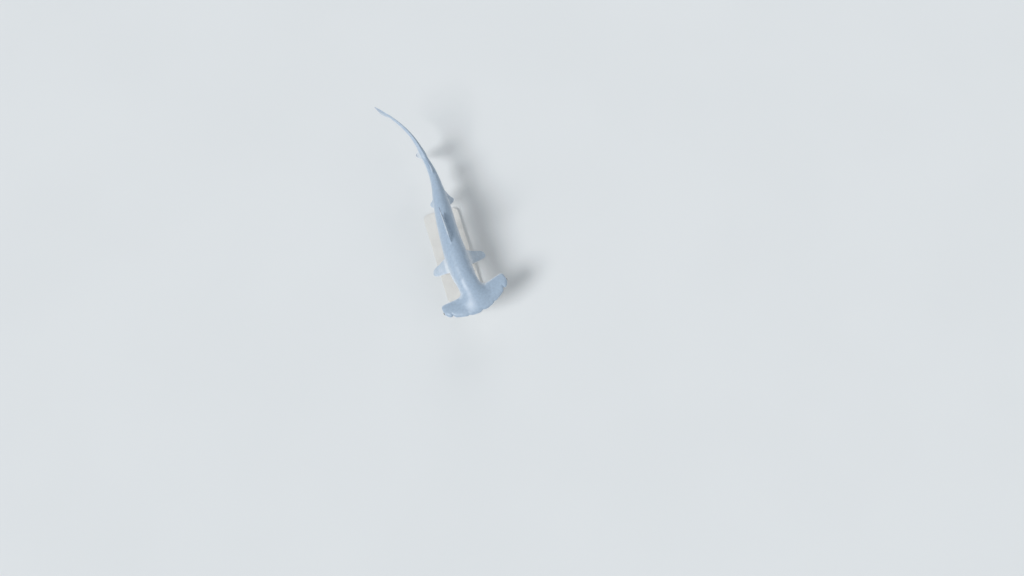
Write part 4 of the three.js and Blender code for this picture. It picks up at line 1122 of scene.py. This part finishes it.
# Sprayed satin lacquer: an even, soft sheen with the faint orange peel of a spray gun, as wide as
# the real one.
lacquer, tree, shader, here = new_material("satin lacquer on fibreboard",
                                           Coat_Weight=0.15, Coat_Roughness=0.25)
textures = [{"Vector": here, "Scale": METRE_MM / size, "Detail": detail}
            for size, detail in ((CLOUD_MM, CLOUD_DETAIL), (ORANGE_PEEL_MM, ORANGE_PEEL_DETAIL))]
cloud, orange_peel = (add_node(tree, "ShaderNodeTexNoise", texture).outputs["Fac"] for texture in textures)
varied(tree, shader, BASE_WHITE, LACQUER_DARKEST, cloud, sheen=LACQUER_SHEEN,
       relief=(orange_peel, *ORANGE_PEEL_RELIEF))


def board_outline(inset, height):
    """The board's outline, moved in from its edge, at a height above the floor."""
    radius = BASE_CORNER - inset
    ring = []
    for quarter, (side, way) in enumerate(((1, 1), (-1, 1), (-1, -1), (1, -1))):
        for k in range(CORNER_STEPS + 1):
            angle = (quarter + k / CORNER_STEPS) * math.pi / 2
            x = side * (BASE_WIDTH / 2 - BASE_CORNER) + radius * math.cos(angle)
            y = way * (BASE_LENGTH / 2 - BASE_CORNER) + radius * math.sin(angle)
            ring.append((x, y, height))
    return ring


edge_turns = np.linspace(0, np.pi / 2, EDGE_STEPS)
low_edge = [(BASE_EDGE * (1 - math.sin(turn)), BASE_EDGE * (1 - math.cos(turn))) for turn in edge_turns]
groove = [(inset, SHADOW_GROOVE_TOP - below) for inset, below in SHADOW_GROOVE]
high_edge = [(BASE_EDGE * (1 - math.cos(turn)), BASE_THICKNESS - BASE_EDGE * (1 - math.sin(turn)))
             for turn in edge_turns]
base = stacked_object("base_board", [board_outline(*step) for step in low_edge + groove + high_edge])
finish_piece(base, lacquer, "stand_paint", "stand_base")
base.data.set_sharp_from_angle(angle=math.radians(BASE_SHARP))

# The saddles: two cups of black rubber, cast against the belly so that they follow its shape a
# hair's breadth below the skin, and glued on top of the rods.
SADDLE_RADIUS = 0.034
SADDLE_DEPTH = 0.03
SADDLE_BELOW = SADDLE_DEPTH / 3
SADDLE_SIDE = [(0.5, 0), (0.55, 0.004), (0.74, 0.09), (0.9, 0.22), (0.985, 0.42)]
SADDLE_SIDE_SHARE = 0.6
SADDLE_TOP = [(1, 0.0016), (0.985, 0.0006), (0.95, 0), (0.7, 0), (0.45, 0), (0.2, 0)]
PROBE_FROM = 0.05
GAP = 0.0003
TURNS = 72
RUBBER = "#2b2c2e"
RUBBER_GRAIN_MM = 2
RUBBER_DETAIL = 3
RUBBER_DARKEST = 0.7
RUBBER_RANGE = (0.35, 0.65)
RUBBER_SHEEN = (0.62, 0.8)
RUBBER_RELIEF = (0.2, 0.0003)

# Rubber cast in a plaster mould: nearly black and dull, with the mould's grain. That grain is
# 0.2 mm wide and drawn ten times as coarse.
rubber, tree, shader, here = new_material("black rubber, moulded")
texture = {"Vector": here, "Scale": METRE_MM / RUBBER_GRAIN_MM, "Detail": RUBBER_DETAIL}
grain = add_node(tree, "ShaderNodeTexNoise", texture).outputs["Fac"]
varied(tree, shader, RUBBER, RUBBER_DARKEST, grain, RUBBER_RANGE, RUBBER_SHEEN, (grain, *RUBBER_RELIEF))


def turned(profile, axis):
    """Rings of points from a profile of radius and height, turned round an upright axis."""
    angles = np.linspace(0, 2 * np.pi, TURNS, endpoint=False)
    return [[(axis[0] + radius * math.cos(a), axis[1] + radius * math.sin(a), height) for a in angles]
            for radius, height in profile]


skin_tree = BVHTree.FromObject(skin, bpy.context.evaluated_depsgraph_get())
axes = {word: place(station, 0, 0) for word, station in ROD_STATIONS.items()}
cup_bottoms = {}
for word, station in ROD_STATIONS.items():
    bottom = SPINE_HEIGHT - PERCENT * through(BELLY_DEPTH, station) - SADDLE_BELOW
    side_profile = [(SADDLE_RADIUS * share, bottom + SADDLE_DEPTH * rise * SADDLE_SIDE_SHARE)
                    for share, rise in SADDLE_SIDE]
    rings = turned(side_profile, axes[word])
    for share, drop in SADDLE_TOP:
        ring = turned([(SADDLE_RADIUS * share, PROBE_FROM)], axes[word])[0]
        hits = [skin_tree.ray_cast(Vector(point), Vector(UP))[0] for point in ring]
        rings.append([(x, y, hit.z - GAP - drop) for (x, y, _), hit in zip(ring, hits)])
    cup_bottoms[word] = bottom
    finish_piece(stacked_object(f"saddle_{word}", rings), rubber, "stand_rubber", f"stand_saddle_{word}")

# The rods: two lengths of stainless steel bar, turned to length, chamfered at both ends and
# brushed. Each stands on the board in its collar and carries a saddle.
ROD_RADIUS = 0.0125
ROD_CHAMFER = 0.0008
ROD_FOOT = BASE_THICKNESS + GAP
STEEL = "#b9bcbf"
STEEL_DARKEST = 0.94
STEEL_SHEEN = (0.27, 0.31)
STEEL_RELIEF = (0.02, 0.0001)
BRUSH_LENGTH_MM = 30
BRUSH_WIDTH_MM = 0.5
BRUSH_DETAIL = 2
STEEL_SHARP = 35

# Brushed stainless steel: a soft, slightly streaked reflection. The scratches run round the bar,
# 0.05 mm wide in life and drawn ten times as coarse.
steel, tree, shader, here = new_material("brushed stainless steel", Metallic=1)
stretch = (1, 1, BRUSH_LENGTH_MM / BRUSH_WIDTH_MM)
stretched = add_node(tree, "ShaderNodeMapping", {"Vector": here, "Scale": stretch})
texture = {"Vector": stretched.outputs[0], "Scale": METRE_MM / BRUSH_LENGTH_MM, "Detail": BRUSH_DETAIL}
lines = add_node(tree, "ShaderNodeTexNoise", texture).outputs["Fac"]
varied(tree, shader, STEEL, STEEL_DARKEST, lines, sheen=STEEL_SHEEN, relief=(lines, *STEEL_RELIEF))

for word, axis in axes.items():
    end = cup_bottoms[word] - GAP
    profile = [(ROD_RADIUS - ROD_CHAMFER, ROD_FOOT), (ROD_RADIUS, ROD_FOOT + ROD_CHAMFER),
               (ROD_RADIUS, end - ROD_CHAMFER), (ROD_RADIUS - ROD_CHAMFER, end)]
    rod = stacked_object(f"rod_{word}", turned(profile, axis))
    finish_piece(rod, steel, "stand_steel", f"stand_rod_{word}")
    rod.data.set_sharp_from_angle(angle=math.radians(STEEL_SHARP))

# The collars: flat rings turned from the same steel, with a round upper edge, slid over the feet of
# the rods and each screwed to the board with four socket head cap screws.
COLLAR_RADIUS = 0.036
COLLAR_TOP = ROD_FOOT + 0.014
COLLAR_EDGE = 0.003
COLLAR_EDGE_STEPS = 7
COLLAR_CHAMFER = 0.0006
BORE_RADIUS = ROD_RADIUS + GAP
BORE_CHAMFER = 0.001
SCREW_SIZES = {"Count": 4, "Circle": 0.0235, "Screw Radius": 0.0035, "Height": 0.003,
               "Sides": 24, "Socket Share": 0.55, "Socket Depth": -0.6}
FACING_UP = 0.9


def screw_ring_tree(material):
    """Socket head screws spaced evenly round a circle."""
    tree = bpy.data.node_groups.new("screw ring", "GeometryNodeTree")
    kinds = {"Count": "NodeSocketInt", "Circle": "NodeSocketFloat", "Screw Radius": "NodeSocketFloat",
             "Height": "NodeSocketFloat", "Centre": "NodeSocketVector", "Sides": "NodeSocketInt",
             "Socket Share": "NodeSocketFloat", "Socket Depth": "NodeSocketFloat"}
    for name, kind in kinds.items():
        tree.interface.new_socket(name, in_out="INPUT", socket_type=kind)
    tree.interface.new_socket("Geometry", in_out="OUTPUT", socket_type="NodeSocketGeometry")
    given = add_node(tree, "NodeGroupInput").outputs
    circle = add_node(tree, "GeometryNodeMeshCircle",
                      {"Vertices": given["Count"], "Radius": given["Circle"]})
    shifted = add_node(tree, "GeometryNodeSetPosition",
                       {"Geometry": circle.outputs[0], "Offset": given["Centre"]})
    head = add_node(tree, "GeometryNodeMeshCylinder", {
        "Vertices": given["Sides"], "Radius": given["Screw Radius"], "Depth": given["Height"]},
        fill_type="NGON")
    normal = add_node(tree, "GeometryNodeInputNormal").outputs[0]
    upwards = add_node(tree, "ShaderNodeSeparateXYZ", (normal,)).outputs["Z"]
    top = add_node(tree, "FunctionNodeCompare", (upwards, FACING_UP), operation="GREATER_THAN")
    rim = add_node(tree, "GeometryNodeExtrudeMesh", {
        "Mesh": head.outputs[0], "Selection": top.outputs[0], "Offset Scale": 0})
    inset = add_node(tree, "GeometryNodeScaleElements", {
        "Geometry": rim.outputs["Mesh"], "Selection": rim.outputs["Top"], "Scale": given["Socket Share"]})
    down = add_node(tree, "ShaderNodeMath", (given["Height"], given["Socket Depth"]), operation="MULTIPLY")
    socket = add_node(tree, "GeometryNodeExtrudeMesh", {
        "Mesh": inset.outputs[0], "Selection": rim.outputs["Top"], "Offset Scale": down.outputs[0]})
    copies = add_node(tree, "GeometryNodeInstanceOnPoints", {
        "Points": shifted.outputs[0], "Instance": socket.outputs["Mesh"]})
    real = add_node(tree, "GeometryNodeRealizeInstances", {"Geometry": copies.outputs[0]})
    painted = add_node(tree, "GeometryNodeSetMaterial", {"Geometry": real.outputs[0], "Material": material})
    add_node(tree, "NodeGroupOutput", {"Geometry": painted.outputs[0]})
    return tree


def screw_ring(name, tree, values):
    """The plain mesh that the screw tree makes with these sizes."""
    holder = bpy.data.objects.new(name, bpy.data.meshes.new(name))
    bpy.context.scene.collection.objects.link(holder)
    modifier = holder.modifiers.new("screws", "NODES")
    modifier.node_group = tree
    for item in tree.interface.items_tree:
        if item.in_out == "INPUT":
            modifier[item.identifier] = values[item.name]
    made = bpy.data.meshes.new_from_object(holder.evaluated_get(bpy.context.evaluated_depsgraph_get()))
    holder.modifiers.remove(modifier)
    holder.data = made
    return holder


screws = screw_ring_tree(steel)
collar_edge = [(COLLAR_RADIUS - COLLAR_EDGE * (1 - math.cos(turn)),
                COLLAR_TOP - COLLAR_EDGE * (1 - math.sin(turn)))
               for turn in np.linspace(0, np.pi / 2, COLLAR_EDGE_STEPS)]
collar_profile = [(BORE_RADIUS, ROD_FOOT), (COLLAR_RADIUS - COLLAR_CHAMFER, ROD_FOOT),
                  (COLLAR_RADIUS, ROD_FOOT + COLLAR_CHAMFER), *collar_edge,
                  (BORE_RADIUS + BORE_CHAMFER, COLLAR_TOP), (BORE_RADIUS, COLLAR_TOP - BORE_CHAMFER)]
for word, axis in axes.items():
    collar = ring_object(f"collar_{word}", np.array(turned(collar_profile, axis)))
    finish_piece(collar, steel, "stand_steel", f"stand_collar_{word}")
    seat = (axis[0], axis[1], COLLAR_TOP + SCREW_SIZES["Height"] / 2)
    heads = screw_ring(f"collar_screws_{word}", screws, {**SCREW_SIZES, "Centre": seat})
    finish_piece(heads, steel, "stand_steel")
    for piece in (collar, heads):
        piece.data.set_sharp_from_angle(angle=math.radians(STEEL_SHARP))

# The studio: a plain pale floor under a pale sky that has no visible edge, soft light from large
# lamps above, each with its place, its width in degrees and its strength, and the camera high over
# the shark and a little to the right of its nose.
FLOOR_PALE = "#d5d8da"
FLOOR_DARKEST = 0.985
FLOOR_CLOUD_MM = 1500
FLOOR_DETAIL = 2
FLOOR_RADIUS = 150
FLOOR_TOP = -0.0005
FLOOR_STEP = 3
WALL_PALE = "#e5e8eb"
CEILING_PALE = "#b2b6b9"
WALL_RISE = 0.4
LAMPS = {"key_light": ((-3.2, -1.6, 3.4), 24, 2.5), "fill_light": ((3.4, -2.6, 3.2), 40, 0.35),
         "rim_light": ((1.6, 4.2, 2.6), 30, 0.45)}
CAMERA_AZIMUTH = -17
CAMERA_ELEVATION = 69.5
CAMERA_DISTANCE = 9.45
CAMERA_TARGET = (0.42, -0.64, 0.385)
LENS = 35
SENSOR_WIDTH = 36

# Matt paint, rolled: no highlight, and clouds as wide as a painter's reach, too faint to see as such.
floor_paint, tree, shader, here = new_material("matt floor paint", Roughness=0.8)
texture = {"Vector": here, "Scale": METRE_MM / FLOOR_CLOUD_MM, "Detail": FLOOR_DETAIL}
varied(tree, shader, FLOOR_PALE, FLOOR_DARKEST, add_node(tree, "ShaderNodeTexNoise", texture).outputs["Fac"])

floor_turns = [math.radians(degrees) for degrees in range(0, 360, FLOOR_STEP)]
floor_ring = [(FLOOR_RADIUS * math.cos(turn), FLOOR_RADIUS * math.sin(turn), FLOOR_TOP)
              for turn in floor_turns]
floor_mesh = bpy.data.meshes.new("floor")
floor_mesh.from_pydata(floor_ring, [], [range(len(floor_ring))])
floor = bpy.data.objects.new("floor", floor_mesh)
bpy.context.scene.collection.objects.link(floor)
floor_mesh.materials.append(floor_paint)

for name, (position, degrees_wide, strength) in LAMPS.items():
    lamp = bpy.data.lights.new(name, "SUN")
    lamp.angle = math.radians(degrees_wide)
    lamp.energy = strength
    holder = bpy.data.objects.new(name, lamp)
    holder.location = position
    holder.rotation_euler = (-Vector(position)).to_track_quat("-Z", "Y").to_euler()
    bpy.context.scene.collection.objects.link(holder)

world = bpy.data.worlds.new("studio")
world.use_nodes = True
sky = world.node_tree
way = add_node(sky, "ShaderNodeTexCoord").outputs["Generated"]
way_up = add_node(sky, "ShaderNodeSeparateXYZ", (way,)).outputs["Z"]
backdrop = coated(sky, linear(WALL_PALE), linear(CEILING_PALE), way_up, 0, WALL_RISE)
sky.links.new(backdrop, sky.nodes["Background"].inputs["Color"])
bpy.context.scene.world = world
bpy.context.scene.view_settings.view_transform = "Khronos PBR Neutral"

azimuth = math.radians(CAMERA_AZIMUTH)
elevation = math.radians(CAMERA_ELEVATION)
level = math.cos(elevation)
away = Vector((math.sin(azimuth) * level, -math.cos(azimuth) * level, math.sin(elevation)))
lens = bpy.data.cameras.new("camera")
lens.lens = LENS
lens.sensor_width = SENSOR_WIDTH
camera = bpy.data.objects.new("camera", lens)
camera.location = Vector(CAMERA_TARGET) + away * CAMERA_DISTANCE
camera.rotation_euler = (-away).to_track_quat("-Z", "Y").to_euler()
bpy.context.scene.collection.objects.link(camera)
bpy.context.scene.camera = camera
